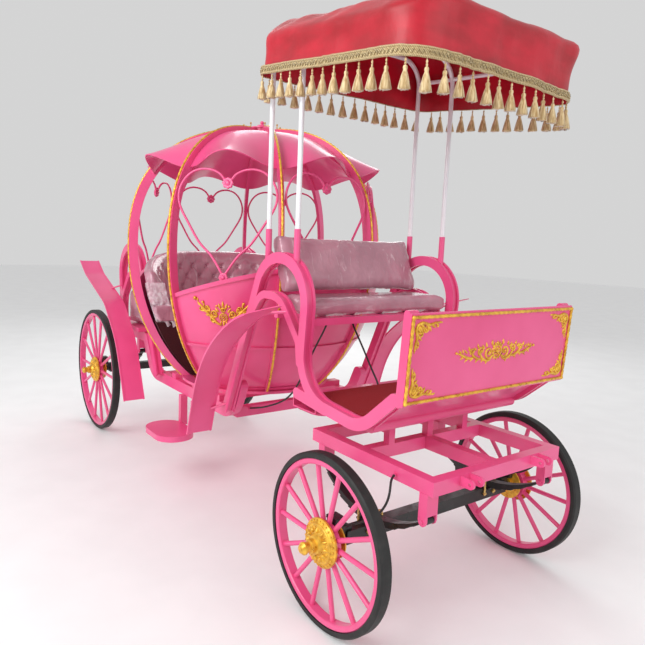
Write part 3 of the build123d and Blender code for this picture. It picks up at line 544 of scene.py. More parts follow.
def canopy_plan(count):
    """Points evenly spaced round the cover's rounded outline, with outward directions."""
    x0, x1, half = CLOTH_LOW.x, CLOTH_HIGH.x, CLOTH_HIGH.y
    runs = []
    for x, y, radius, start in (
        (x1 - FRONT_CORNER, -half + FRONT_CORNER, FRONT_CORNER, -90),
        (x1 - FRONT_CORNER, half - FRONT_CORNER, FRONT_CORNER, 0),
        (x0 + REAR_CORNER, half - REAR_CORNER, REAR_CORNER, 90),
        (x0 + REAR_CORNER, -half + REAR_CORNER, REAR_CORNER, 180),
    ):
        for step in range(19):
            turn = math.radians(start + 5 * step)
            normal = Vector((math.cos(turn), math.sin(turn), 0))
            runs.append((Vector((x, y, 0)) + normal * radius, normal))
    runs.append(runs[0])
    lengths = [0.0]
    for (a, _), (b, _) in zip(runs, runs[1:]):
        lengths.append(lengths[-1] + (b - a).length)
    made = []
    for index in range(count):
        wanted = lengths[-1] * index / count
        k = max(i for i in range(len(lengths) - 1) if lengths[i] <= wanted)
        share = (wanted - lengths[k]) / max(lengths[k + 1] - lengths[k], 1e-9)
        place = runs[k][0].lerp(runs[k + 1][0], share)
        normal = runs[k][1].lerp(runs[k + 1][1], share).normalized()
        made.append((place, normal, wanted))
    return made, lengths[-1]


def along_share(x):
    """0 at the cover's rear edge and 1 at its front edge."""
    return (x - CLOTH_LOW.x) / (CLOTH_HIGH.x - CLOTH_LOW.x)


def hem_height(x):
    """Height of the cover's lower edge, which falls towards the front."""
    return CLOTH_LOW.z + HEM_FALL * (1 - along_share(x))


def chain(points, value):
    """Height on a chain of straight lines given by (place, height)."""
    for (a, za), (b, zb) in zip(points, points[1:]):
        if value <= b:
            return za + (zb - za) * (value - a) / (b - a)
    return points[-1][1]


def roof_height(x, y):
    """Top of the cover over a point, from its side view and its end view."""
    ridge = CLOTH_HIGH.z
    side = chain(
        (
            (CLOTH_LOW.x, ridge - 0.044),
            (CLOTH_LOW.x + 0.02, ridge),
            (CLOTH_HIGH.x - 0.05, RIDGE_FRONT),
            (CLOTH_HIGH.x, RIDGE_FRONT - 0.026),
        ),
        x,
    )
    half = CLOTH_HIGH.y
    end = chain(
        (
            (-half, EAVE_REAR),
            (0.077 - half, EAVE_REAR + 0.060),
            (0.115 - half, EAVE_REAR + 0.092),
            (0.175 - half, EAVE_REAR + 0.112),
            (0, EAVE_REAR + 0.118),
        ),
        -abs(y),
    )
    forward = along_share(x)
    end += (EAVE_FRONT - EAVE_REAR) * forward
    end += 0.040 * forward ** 3 * max(0, y / half) ** 2 - 0.012 * forward * max(0, -y / half) ** 2
    return min(side, end)


def cloth_fold(point, share, wanted):
    """How far the cloth stands out at a point: share is 0 at the hem and 1 at the top."""
    soft = noise.noise(Vector((wanted * 7.0, share * 1.2, 0.3))) * 0.011
    fine = (1 - 2 * abs(noise.noise(Vector((wanted * 17.0, share * 2.0, 4.1))))) * 0.006
    wide = noise.noise(point * 4.0) * 0.012
    crease = (1 - 2 * abs(noise.noise(Vector((point.x * 4, point.y * 4, point.z * 8))))) * 0.013
    out = (soft + fine) * (1 - 0.55 * share) + (wide + crease) * min(1, share * 2)
    forward = along_share(point.x)
    tucked = -0.045 * forward ** 4 * max(0, point.y / CLOTH_HIGH.y) ** 2
    flared = 0.016 * (1 - forward) ** 4
    return out + (tucked + flared) * max(0, 1 - 2 * share)


def add_canopy(finish):
    """The red cover as one continuous sheet, with braid and tassels along its hem."""
    plan, total = canopy_plan(HEM_POINTS)
    middle = Vector(((CLOTH_LOW.x + CLOTH_HIGH.x) / 2 - 0.06, 0, 0))
    rows = []
    for level in range(WALL_LEVELS + 1):
        share = level / WALL_LEVELS
        row = []
        for place, normal, wanted in plan:
            low = hem_height(place.x)
            high = roof_height(place.x, place.y)
            point = Vector((place.x, place.y, low + (high - low) * share))
            lean = -0.012 * math.sin(share * math.pi)
            out = cloth_fold(point, share * 0.5, wanted) + lean
            row.append(point + normal * (out - 0.004))
        rows.append(row)
    for level in range(1, ROOF_LEVELS):
        inward = 1 - level / ROOF_LEVELS
        row = []
        for place, normal, wanted in plan:
            x = middle.x + (place.x - middle.x) * inward
            y = place.y * inward
            z = roof_height(x, y)
            point = Vector((x, y, z))
            sag = 0.014 * math.sin(math.pi * min(1, (1 - inward) * 1.6)) * (1 - inward)
            lift = cloth_fold(point, 0.5 + 0.5 * (1 - inward), wanted) - sag - 0.008
            row.append(point + Vector((0, 0, lift)))
        rows.append(row)
    heap = Heap()
    heap.grid(rows, closed=True)
    last = len(rows) - 1
    heap.faces.append(tuple(last * HEM_POINTS + j for j in range(HEM_POINTS)))
    cover = heap.piece("canopy_cover", finish["satin"], "carriage", "red_satin")
    relax(cover, 5, lambda point: point.z > hem_height(point.x) + 0.02)
    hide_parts("canopy_cloth")
    band = add_braid(finish, plan, total)
    fringe = add_tassels(finish)


def relax(piece, rounds, free):
    """Smooth the points that the test lets move."""
    mesh = piece.data
    count = len(mesh.vertices)
    points = np.empty(count * 3)
    mesh.vertices.foreach_get("co", points)
    points = points.reshape(-1, 3)
    edges = np.empty(len(mesh.edges) * 2, dtype=int)
    mesh.edges.foreach_get("vertices", edges)
    edges = edges.reshape(-1, 2)
    degree = np.bincount(edges.ravel(), minlength=count)[:, None]
    moving = np.array([free(Vector(point)) for point in points])[:, None]
    for _ in range(rounds):
        total = np.zeros_like(points)
        np.add.at(total, edges[:, 0], points[edges[:, 1]])
        np.add.at(total, edges[:, 1], points[edges[:, 0]])
        points = np.where(moving, 0.4 * points + 0.6 * total / np.maximum(degree, 1), points)
    mesh.vertices.foreach_set("co", points.ravel())
    mesh.update()


def add_braid(finish, plan, total):
    """Gold braid sewn round the outside of the hem."""
    rows = []
    for height, out in (
        (-0.002, 0.000),
        (-0.004, 0.0045),
        (0.006, 0.0065),
        (0.016, 0.0050),
        (0.026, 0.0065),
        (0.038, 0.0045),
        (0.038, 0.000),
    ):
        rows.append([braid_point(spot, height, out) for spot in plan])
    heap = Heap()
    heap.grid(rows, closed=True)
    for height in (0.002, 0.033):
        edge = [braid_point(spot, height, 0.0068) for spot in plan + plan[:1]]
        heap.grid(tube_rows(edge, 0.0034, 6), closed=True)
    fine, _ = canopy_plan(2 * round(total / (2 * BRAID_PITCH)))
    zigzag = [
        braid_point(spot, 0.009 if index % 2 else 0.026, 0.0085)
        for index, spot in enumerate(fine + fine[:1])
    ]
    heap.grid(tube_rows(zigzag, 0.0032, 6), closed=True)
    return heap.piece("canopy_braid", finish["braid"])


def braid_point(spot, height, out):
    """Point on the braid, a height above the hem and standing out from the cloth."""
    place, normal, wanted = spot
    base = Vector((place.x, place.y, hem_height(place.x) + height))
    return base + normal * (cloth_fold(base, 0, wanted) - 0.003 + out)


# A tassel's radius and height from its cord down to the threads' ends.
TASSEL_PROFILE = (
    (0.0012, 0.000), (0.0012, -0.010), (0.0040, -0.014), (0.0048, -0.018), (0.0015, -0.023),
    (0.0052, -0.028), (0.0020, -0.034), (0.0075, -0.038), (0.0090, -0.045), (0.0070, -0.052),
    (0.0078, -0.055), (0.0125, -0.070), (0.0165, -0.090), (0.0200, -0.112), (0.0206, -0.119),
)
TASSEL_BINDING = 0.055


def tassel(heap, top, seed):
    """One tassel: a cord, three beads, a bound head and a flared skirt of threads."""
    swing = Vector([noise.noise(Vector((seed * 3.7, axis, 0.5))) for axis in (0.5, 10.5, 20.5)]) * 0.004
    rows = []
    for radius, height in TASSEL_PROFILE:
        loose = max(0.0, -height - TASSEL_BINDING) / 0.06
        ring = []
        for k, (cos, sin) in enumerate(circle(20)):
            ridge = 1 + 0.16 * loose * (1 if k % 2 else -1)
            drop = 0.006 * loose * noise.noise(Vector((k * 1.7, seed * 0.9, 0)))
            spot = Vector((cos, sin, 0)) * radius * ridge
            ring.append(top + spot + Vector((0, 0, height + drop)) + swing * loose)
        rows.append(ring)
    heap.solid(rows)


def add_tassels(finish):
    """Tassels hanging from the hem all round, evenly spaced."""
    _, total = canopy_plan(4)
    plan, _ = canopy_plan(round(total / TASSEL_PITCH))
    heap = Heap()
    for seed, (place, normal, wanted) in enumerate(plan):
        base = Vector((place.x, place.y, hem_height(place.x)))
        out = cloth_fold(base, 0, wanted)
        tassel(heap, base + normal * (out - 0.002) + Vector((0, 0, 0.002)), seed)
    return heap.piece("canopy_tassels", finish["tassel"])


# ---------------- cushions

CUSHION_VOXEL = 0.014
CUSHION_PRESSURE = 4.0
CUSHION_SHRINK = 0.010
CUSHION_CAP = 0.012
CUSHION_PROUD = 0.004
SWELL_FRAMES = 20


def cushion(node, finish):
    """A plump cushion in place of one of the model's plain cushion solids."""
    source = NODES[node]
    low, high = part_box(node)
    mesh = source.data.copy()
    mesh.transform(source.matrix_world)
    middle, size = (low + high) / 2, high - low
    shrink = [(extent - CUSHION_SHRINK) / extent for extent in size]
    for vertex in mesh.vertices:
        vertex.co = middle + Vector([part * factor for part, factor in zip(vertex.co - middle, shrink)])
    mesh.materials.clear()
    mesh.materials.append(finish)
    piece = add_object(node + "_padded", mesh)
    remesh = piece.modifiers.new("remesh", "REMESH")
    remesh.mode = "VOXEL"
    remesh.voxel_size = CUSHION_VOXEL
    apply_modifier(piece, "remesh")
    relax(piece, 3, lambda point: True)
    swell(piece)
    smooth = piece.modifiers.new("smooth", "SUBSURF")
    smooth.levels = 1
    apply_modifier(piece, "smooth")
    crinkle(piece, 0.0028, 9, (1, 1, 1))
    crinkle(piece, 0.0016, 26, (1, 1, 0.6))
    points, _ = surface_of(piece)
    points = np.clip(points, np.array(low) - CUSHION_PROUD, np.array(high) + CUSHION_PROUD)
    put_points(piece, points)
    piece.data.shade_smooth()
    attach(piece, "carriage")
    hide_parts(node)


def add_cushions(finish):
    """The two seats, the driver's back and the rear cushion."""
    cushion("driver_cushion", finish["seat_flat"])
    cushion("driver_backrest", finish["seat"])
    cushion("rear_cushion", finish["seat"])
    cushion("sofa_seat", finish["seat"])


def apply_modifier(piece, name):
    """Apply one modifier of a piece."""
    bpy.ops.object.select_all(action="DESELECT")
    piece.select_set(True)
    bpy.context.view_layer.objects.active = piece
    bpy.ops.object.modifier_apply(modifier=name)


def surface_of(piece):
    """A mesh's points and normals as two arrays."""
    count = len(piece.data.vertices)
    points, normals = np.empty(count * 3), np.empty(count * 3)
    piece.data.vertices.foreach_get("co", points)
    piece.data.vertices.foreach_get("normal", normals)
    return points.reshape(-1, 3), normals.reshape(-1, 3)


def put_points(piece, points):
    """Write a mesh's points back."""
    piece.data.vertices.foreach_set("co", points.ravel())
    piece.data.update()


def swell(piece):
    """Inflate a cushion with the cloth solver, no further than the cap anywhere."""
    before, _ = surface_of(piece)
    cloth = piece.modifiers.new("cloth", "CLOTH")
    cloth.settings.use_pressure = True
    cloth.settings.uniform_pressure_force = CUSHION_PRESSURE
    cloth.settings.effector_weights.gravity = 0
    cloth.settings.quality = 3
    cloth.point_cache.frame_start = 1
    cloth.point_cache.frame_end = SWELL_FRAMES
    for step in range(1, SWELL_FRAMES + 1):
        bpy.context.scene.frame_set(step)
    apply_modifier(piece, "cloth")
    bpy.context.scene.frame_set(1)
    after, _ = surface_of(piece)
    move = after - before
    length = np.linalg.norm(move, axis=1, keepdims=True)
    put_points(piece, before + move * np.minimum(1, CUSHION_CAP / np.maximum(length, 1e-9)))


def crinkle(piece, amount, scale, stretch):
    """Push points along their normals by ridged noise, as film pulled over a cushion."""
    points, normals = surface_of(piece)
    places = points * scale * np.array(stretch)
    ridges = np.array([1 - 2 * abs(noise.noise(place)) for place in places])
    put_points(piece, points + normals * (amount * (ridges - 0.5))[:, None])


# ---------------- curved sofa

BODY_RADIUS = 0.850
WAIST = 1.555
CROWN = 0.798
BOWL = 1.057
SOFA_HALF_TURN = 76.0
SOFA_COLUMNS = 190
SOFA_GAP = 0.086
SOFA_DEPTH = 0.088
SOFA_ROLL = 0.045
SOFA_ROLL_REACH = 0.043
SOFA_FACE_ROWS = 43
TUFT_WIDE = 0.128
TUFT_HIGH = 0.150
TUFT_ROUND = 0.66


def outline_radius(z):
    """Radius of the round body's outline at a height."""
    if z >= WAIST:
        return BODY_RADIUS * max(0, 1 - ((z - WAIST) / CROWN) ** 2.4) ** (1 / 2.4)
    return BODY_RADIUS * math.sqrt(max(0, 1 - ((WAIST - z) / BOWL) ** 2))


def round_body(turn, radius, z):
    """Point at an angle in degrees round the body's upright axis."""
    angle = math.radians(turn)
    return Vector((BODY_AXIS.x + radius * math.cos(angle), radius * math.sin(angle), z))


def tuft_depth(across, up):
    """Diamond quilting: swells between buttons and sinks along the folds."""
    p = across / TUFT_WIDE + up / TUFT_HIGH
    q = across / TUFT_WIDE - up / TUFT_HIGH
    swelling = abs(math.sin(math.pi * p) * math.sin(math.pi * q)) ** 0.55
    near = math.hypot(p - round(p), q - round(q))
    return 0.013 * swelling - 0.016 * math.exp(-((near / 0.16) ** 2))


def sofa_top(high, end):
    """Height of the back's top, which falls towards its ends; end is 0 in the middle and 1 at an end."""
    return high.z - 0.012 - 0.145 * end ** 3.2


def add_sofa_back(finish):
    """The tufted back that curves round the rear of the cabin."""
    low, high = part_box("sofa_back")
    foot = low.z
    rows = []
    for column in range(SOFA_COLUMNS):
        offset = -SOFA_HALF_TURN + 2 * SOFA_HALF_TURN * column / (SOFA_COLUMNS - 1)
        end = abs(offset) / SOFA_HALF_TURN
        top = sofa_top(high, end)
        pinch = min(1, (1 - end) / 0.06 + 0.30)
        ring = []
        for share in (0, 0.5, 1):
            z = foot + (top - SOFA_ROLL - foot) * share
            ring.append(round_body(180 + offset, outline_radius(z) - SOFA_GAP - 0.030 * (1 - pinch), z))
        for step in range(1, 8):
            turn = math.pi * step / 8
            z = top - SOFA_ROLL + SOFA_ROLL * math.sin(turn)
            base = outline_radius(z) - SOFA_GAP - SOFA_ROLL_REACH
            ring.append(round_body(180 + offset, base + SOFA_ROLL_REACH * math.cos(turn) * pinch, z))
        for step in range(SOFA_FACE_ROWS + 1):
            z = top - SOFA_ROLL - (top - SOFA_ROLL - foot) * step / SOFA_FACE_ROWS
            base = outline_radius(z) - SOFA_GAP - SOFA_DEPTH + 0.030 * (1 - pinch)
            edge = min(1, step / 6, (SOFA_FACE_ROWS - step) / 4) * min(1, (1 - end) / 0.05)
            across = math.radians(offset) * TUFT_ROUND
            up = z - foot
            ring.append(round_body(180 + offset, base - tuft_depth(across, up) * max(0, edge), z))
        rows.append(ring)
    heap = Heap()
    heap.solid(rows)
    back = heap.piece("sofa_back_tufted", finish["seat"], "carriage", "wrapped_leather")
    crinkle(back, 0.0016, 14, (1, 1, 0.5))
    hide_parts("sofa_back")
    buttons = Heap()
    for i in range(-10, 11):
        for j in range(-10, 11):
            across = (i + j) * TUFT_WIDE / 2
            up = (i - j) * TUFT_HIGH / 2
            offset = math.degrees(across / TUFT_ROUND)
            end = abs(offset) / SOFA_HALF_TURN
            z = foot + up
            if end > 0.93 or up < 0.05 or z > sofa_top(high, end) - 0.07:
                continue
            centre = round_body(180 + offset, outline_radius(z) - (SOFA_GAP + SOFA_DEPTH) + 0.013, z)
            inward = BODY_AXIS - centre
            inward.z = 0
            dome(buttons, centre, inward.normalized(), 0.011, 0.008)
    buttons.piece("sofa_buttons", finish["seat"], "carriage", "wrapped_leather")


def dome_profile(radius, height):
    """Radius and lift of a low dome's rings, from its foot to near its top."""
    turns = [share * math.pi / 2 for share in (0, 0.35, 0.7, 0.93)]
    return [(radius * math.cos(turn), height * math.sin(turn)) for turn in turns]


def dome(heap, centre, outward, radius, height):
    """Small round-headed button standing on a surface."""
    rings(heap, centre, outward, dome_profile(radius, height), 12)


# ---------------- gold rope

def resample(points, step):
    """Evenly spaced points along a path."""
    lengths = [0.0]
    for a, b in zip(points, points[1:]):
        lengths.append(lengths[-1] + (b - a).length)
    count = max(2, round(lengths[-1] / step))
    made = []
    k = 0
    for index in range(count + 1):
        wanted = lengths[-1] * index / count
        while k < len(points) - 2 and lengths[k + 1] < wanted:
            k += 1
        share = (wanted - lengths[k]) / max(lengths[k + 1] - lengths[k], 1e-9)
        made.append(points[k].lerp(points[k + 1], min(1, share)))
    return made


ROPE_RADIUS = 0.0075
ROPE_LAY = 0.030
ROPE_STEP = 0.0052
ROPE_SIDES = 9
ROPE_HIGH = 2.350
ROPE_LOW = 0.705
RIB_TURNS = {"right": (202.5, 247.5, 292.5, 337.5), "left": (22.5, 67.5, 112.5, 157.5)}


def rope(heap, points):
    """Three strands twisted together along a path."""
    path = resample(points, ROPE_STEP)
    rows = tube_rows(path, ROPE_RADIUS, ROPE_SIDES)
    for index, ring in enumerate(rows):
        centre = path[index]
        for k, point in enumerate(ring):
            swirl = 3 * (2 * math.pi * k / ROPE_SIDES - 2 * math.pi * index * ROPE_STEP / (3 * ROPE_LAY))
            ring[k] = centre + (point - centre) * (0.88 + 0.17 * math.cos(swirl))
    heap.solid(rows)


def add_body_ropes(finish):
    """Twisted gold rope down the outer edge of each rib, with a brass pin at each top end."""
    pins = Heap()
    for half, angles in RIB_TURNS.items():
        heap = Heap()
        for turn in angles:
            path = []
            for step in range(90):
                share = step / 89
                z = ROPE_HIGH - (ROPE_HIGH - ROPE_LOW) * (1 - math.cos(share * math.pi)) / 2
                path.append(round_body(turn, outline_radius(z) + 0.002, z))
            rope(heap, path)
            top = path[0]
            for radius, low, high in ((0.0035, -0.002, 0.030), (0.006, 0.024, 0.032)):
                rows = [
                    [top + Vector((radius * cos, radius * sin, z)) for cos, sin in circle(10)]
                    for z in (low, high)
                ]
                pins.solid(rows)
        heap.piece("body_rope_" + half, finish["gold"])
    pins.piece("crown_pins", finish["brass"])


# ---------------- carved relief

class Relief:
    """Raised scrollwork drawn in flat coordinates and laid on a surface by a function."""

    def __init__(self, place=None):
        self.heap = Heap()
        self.lay(place)

    def lay(self, place, scale=1.0, mirror=False, swap=False):
        """Choose where the next strokes go."""
        self.place = place
        self.scale = scale
        self.mirror = mirror
        self.swap = swap

    def spot(self, u, v, height):
        """Surface point of a place in the drawing, given in millimetres."""
        if self.swap:
            u, v = v, u
        if self.mirror:
            u = -u
        factor = self.scale / 1000
        return self.place(u * factor, v * factor, height * factor)

    def stroke(self, points, widths):
        """A rounded ridge through the points with a half width at each."""
        path = smooth_curve([Vector((u, v, w)) for (u, v), w in zip(points, widths)], 5)
        rows = []
        for index, here in enumerate(path):
            after = path[min(index + 1, len(path) - 1)]
            before = path[max(index - 1, 0)]
            along = Vector((after.x - before.x, after.y - before.y, 0)).normalized()
            wide = max(here.z, 0.3)
            ring = []
            for k in range(7):
                turn = math.pi * k / 6
                across = math.cos(turn) * wide
                lift = math.sin(turn) * wide * 1.15
                ring.append(self.spot(here.x - along.y * across, here.y + along.x * across, lift))
            rows.append(ring)
        self.heap.grid(rows)

    def leaf(self, start, angle, length, wide, bend=0.0):
        """A pointed leaf that swells and curls to one side."""
        points = []
        for step in range(5):
            turn = math.radians(angle + bend * step / 4)
            last = points[-1] if points else start
            reach = length / 4 if points else 0
            points.append((last[0] + reach * math.cos(turn), last[1] + reach * math.sin(turn)))
        self.stroke(points, (wide * 0.4, wide, wide * 0.95, wide * 0.6, 0.4))

    def scroll(self, centre, radius, start, turns, wide):
        """A spiral that closes on a round end."""
        points = []
        steps = max(8, round(abs(turns) * 12))
        for step in range(steps + 1):
            share = step / steps
            turn = math.radians(start) + 2 * math.pi * turns * share
            reach = radius * (1 - 0.78 * share)
            points.append((centre[0] + reach * math.cos(turn), centre[1] + reach * math.sin(turn)))
        self.stroke(points, [wide * (1 - 0.35 * index / steps) for index in range(steps + 1)])
        self.ball(centre, wide * 1.25)

    def ball(self, centre, radius):
        """A round bead."""
        rows = []
        for share in (0, 0.3, 0.6, 0.9):
            lift = radius * 1.2 * math.sin(share * math.pi / 2)
            wide = radius * math.cos(share * math.pi / 2)
            rows.append([
                self.spot(centre[0] + wide * cos, centre[1] + wide * sin, lift) for cos, sin in circle(12)
            ])
        self.heap.solid(rows)

    def ring(self, centre, radius, wide):
        """A round band."""
        points = []
        for step in range(17):
            turn = 2 * math.pi * step / 16
            points.append((centre[0] + radius * math.cos(turn), centre[1] + radius * math.sin(turn)))
        self.stroke(points, [wide] * 17)


def polar(wide, turn, high=None):
    """Point of a circle, or of an oval of two radii, at a turn in degrees."""
    angle = math.radians(turn)
    return (wide * math.cos(angle), (high or wide) * math.sin(angle))


def draw_leaves(relief, leaves, bend=0.0):
    """Leaves by place, angle, length and width; bend is how far each one curls."""
    for u, v, angle, length, wide in leaves:
        relief.leaf((u, v), angle, length, wide, bend)


def draw_rosette(relief):
    """A flower in a ring round the drawing's origin."""
    relief.ring((0, 0), 27, 4.5)
    relief.ball((0, 0), 8)
    for turn in range(0, 360, 45):
        relief.leaf(polar(9, turn), turn, 14, 4.2)


def draw_centre_half(relief):
    """Right half of the long centre ornament."""
    relief.scroll((53, -2), 27, -150, 1.35, 5.5)
    relief.stroke(((30, -20), (48, -35), (74, -34), (98, -18), (112, 4)), (3, 5.5, 6, 5.5, 3))
    relief.scroll((104, 8), 19, -60, 1.2, 4.8)
    relief.stroke(((88, -26), (118, -25), (150, -10), (166, 8)), (2, 6, 6, 3))
    relief.scroll((158, 8), 15, -40, 1.1, 4.2)
    relief.stroke(((140, -16), (176, -18), (208, -8), (232, 2), (252, 8)), (2, 6, 6.5, 5, 2))
    relief.ball((258, 9), 6)
    for u, v, angle, length, wide in (
        (70, 22, 62, 22, 5), (84, 14, 40, 26, 5), (36, 28, 80, 24, 5.5), (122, 20, 55, 22, 4.5),
        (134, 12, 28, 22, 4.5), (176, 12, 52, 22, 4.5), (190, 4, 25, 26, 4.5), (214, 6, 50, 20, 4),
        (226, 8, 20, 22, 4), (120, -24, -35, 22, 4.5), (152, -16, -30, 24, 4.5), (184, -18, -25, 24, 4),
        (214, -8, -28, 22, 4), (62, -36, -60, 16, 4.5), (90, -28, -55, 16, 4),
    ):
        relief.leaf((u, v), angle, length, wide, 25 if v > 0 else -25)


def draw_centre(relief, place):
    """Long centre ornament, the same on both sides of a flower."""
    relief.lay(place)
    draw_rosette(relief)
    for angle, length in ((90, 30), (68, 28), (112, 28), (46, 24), (134, 24)):
        relief.leaf(polar(30, angle, 27), angle, length * 0.62, 6)
    for angle in (-60, -90, -120):
        relief.leaf(polar(28, angle, 26), angle, 14, 4.5)
    for mirror in (False, True):
        relief.lay(place, mirror=mirror)
        draw_centre_half(relief)


def draw_corner_arm(relief, length):
    """One arm of a corner ornament, running along u from the corner; its drawing is 150 long."""
    fit = length / 150
    spine = ((12, 14), (40 * fit, 8), (80 * fit, 16), (116 * fit, 10), (148 * fit, 12))
    relief.stroke(spine, (4, 6.5, 6, 5, 1.5))
    relief.scroll((58 * fit, 33), 17, -110, 1.25, 5)
    relief.leaf((70 * fit, 22), 30, 30, 6, 30)
    relief.leaf((92 * fit, 16), 48, 28, 5.5, -30)
    relief.leaf((112 * fit, 12), 40, 24, 5, -20)
    relief.leaf((38 * fit, 14), 70, 26, 5.5, -35)
    relief.ball((122 * fit, 24), 5)
    relief.leaf((126 * fit, 10), -12, 24, 4.5, 20)


def draw_corner(relief, place):
    """Corner ornament with an arm along each edge."""
    relief.lay(place)
    relief.scroll((27, 27), 17, 200, 1.3, 5.5)
    relief.leaf((22, 22), 45, 34, 7)
    draw_corner_arm(relief, 150)
    relief.lay(place, swap=True)
    draw_corner_arm(relief, 122)


def draw_crest(relief, place):
    """Winged crest: a flower, a peak above it and two arms that rise outwards."""
    relief.lay(place, 0.85)
    draw_rosette(relief)
    relief.lay(place)
    draw_leaves(relief, (
        (0, 60, 90, 36, 7), (-14, 48, 108, 36, 6.5), (14, 48, 72, 36, 6.5), (-26, 30, 128, 34, 6),
        (26, 30, 52, 34, 6), (0, -26, -90, 30, 7), (-14, -24, -110, 28, 6), (14, -24, -70, 28, 6),
    ))
    relief.ring((0, 44), 11, 4.5)
    relief.ball((0, 44), 6)
    for mirror in (False, True):
        relief.lay(place, mirror=mirror)
        relief.stroke(((14, -46), (40, -34), (66, -4), (92, 22), (122, 52), (152, 84)), (5, 8, 8.5, 8, 7, 4))
        relief.scroll((52, 22), 22, -130, 1.3, 6)
        relief.scroll((92, 52), 18, -150, 1.25, 5.5)
        relief.scroll((64, -16), 14, 60, -1.2, 5)
        relief.scroll((128, 44), 13, 40, -1.1, 4.5)
        relief.ball((118, 84), 9)
        relief.ball((166, 104), 12)
        relief.ball((36, 66), 7)
        draw_leaves(relief, (
            (34, 4, 60, 34, 6.5), (78, 26, 70, 30, 6), (112, 56, 75, 28, 5.5), (134, 66, 20, 24, 5.5),
            (48, -30, -10, 30, 6), (82, 8, -5, 28, 6), (108, 32, 0, 26, 5.5), (148, 88, 60, 22, 5),
        ), 30)


# The splash board's front face from its foot to its head, in millimetres.
BOARD_FACE = ((285, 0, 1022), (305, 0, 1371))
CREST_TURN = 45
CREST_Z = 1.188
PANEL_INSET = 0.025


def add_dash_trim(finish):
    """Rope border and carved ornaments on the splash board's front face."""
    foot, head = local(BOARD_FACE)
    up = (head - foot).normalized()
    out = Vector((up.z, 0, -up.x))
    middle = (foot + head) / 2 + out * 0.007
    half_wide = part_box("dash_board")[1].y
    half_high = (head - foot).length / 2

    def face(u, v, height):
        return middle + Vector((0, u, 0)) + up * v + out * height

    heap = Heap()
    wide, high = half_wide - 0.008, half_high - 0.008
    corners = ((-wide, -high), (wide, -high), (wide, high), (-wide, high))
    for (u0, v0), (u1, v1) in zip(corners, corners[1:] + corners[:1]):
        rope(heap, [face(u0, v0, 0.003), face(u1, v1, 0.003)])
    for u, v in corners:
        dome(heap, face(u, v, 0.003), out, 0.009, 0.009)
    heap.piece("dash_rope", finish["gold"])
    relief = Relief(face)
    draw_centre(relief, lambda u, v, height: face(u, v + 0.002, height))
    for across in SIDES:
        for rise in SIDES:
            draw_corner(relief, corner_of(face, across, rise, half_wide - 0.022, half_high - 0.022))
    relief.heap.piece("dash_carving", finish["gold"])


def corner_of(face, across, rise, wide, high):
    """Drawing coordinates that run inwards from one corner of a board."""
    return lambda u, v, height: face(across * (wide - u), rise * (high - v), height)


def add_body_crests(finish):
    """Winged crests on the two front bays of the round body."""
    relief = Relief()
    for side in SIDES:
        draw_crest(relief, on_body(side * CREST_TURN, CREST_Z))
    relief.heap.piece("body_carving", finish["gold"])


def on_body(turn, z0):
    """Drawing coordinates laid on the curved lower panels."""
    def place(u, v, height):
        z = z0 + v
        radius = outline_radius(z) - PANEL_INSET
        return round_body(turn + math.degrees(u / radius), radius + height + 0.001, z)

    return place


# ---------------- hubs and fasteners

HALF_TRACK = 0.640
SPRING_Y = 0.394
BOLT_SPREAD = 0.036
BOLT_RADIUS = 0.0055
STUB_TURN = 0.785
# The domed face of a hub: (distance from its middle, height).
HUB_FACE = ((0.046, 0.050), (0.083, 0.041), (0.105, 0.027))


def add_hub_relief(finish):
    """Petals, a ring and a row of beads cast on each gold hub's domed face."""
    for name in ("front_left", "front_right", "rear_left", "rear_right"):
        centre = middle_of(name + "_wheel")
        side = 1 if name.endswith("left") else -1

        def face(u, v, height):
            out = HALF_TRACK + chain(HUB_FACE, math.hypot(u, v)) + height
            return Vector((centre.x + u, side * out, centre.z + v))

        relief = Relief(face)
        for index in range(12):
            turn = 30 * index
            relief.leaf(polar(50, turn), turn, 27, 8)
            relief.leaf(polar(62, turn + 15), turn + 15, 17, 4.5)
        relief.ring((0, 0), 85, 2.6)
        for cos, sin in circle(28):
            relief.ball((95 * cos, 95 * sin), 4.6)
        relief.heap.piece(name + "_hub_relief", finish["gold"], "wheel_" + name)


def nut(heap, centre, outward, radius, thickness):
    """Six-sided nut on a bolt's end, with the bolt's stub through it."""
    profile = [(radius * share, thickness * lift) for share, lift in ((1.0, 0.0), (1.0, 0.8), (0.88, 1.0))]
    rings(heap, centre, outward, profile, 6)
    across = outward.orthogonal().normalized()
    other = outward.cross(across)
    rows = []
    for lift in (0.9, 1.7):
        rows.append([
            centre + (across * math.cos(k * STUB_TURN) + other * math.sin(k * STUB_TURN)) * radius * 0.5
            + outward * thickness * lift
            for k in range(8)
        ])
    heap.solid(rows)


def add_spring_bolts(finish):
    """Brass U-bolts over the spring packs, with nuts under the axles."""
    for end, body in (("front", "bogie"), ("rear", "carriage")):
        axle = middle_of(end + "_axle")
        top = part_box(end + "_springs")[0].z + 0.052
        foot = axle.z - 0.040
        bolts = Heap()
        for side in SIDES:
            for offset in (-BOLT_SPREAD, BOLT_SPREAD):
                x = axle.x + offset
                near, far = side * (SPRING_Y - BOLT_SPREAD), side * (SPRING_Y + BOLT_SPREAD)
                corner = 0.012 * side
                half_up = (foot + top) / 2
                route = (
                    (near, foot), (near, half_up), (near, top - 0.012), (near + corner, top),
                    (far - corner, top), (far, top - 0.012), (far, half_up), (far, foot),
                )
                path = smooth_curve([Vector((x, y, z)) for y, z in route], 5)
                bolts.solid(tube_rows(path, BOLT_RADIUS, 10))
                for y in (near, far):
                    nut(bolts, Vector((x, y, foot + 0.012)), Vector((0, 0, -1)), 0.011, 0.009)
        bolts.piece(end + "_spring_bolts", finish["brass"], body)


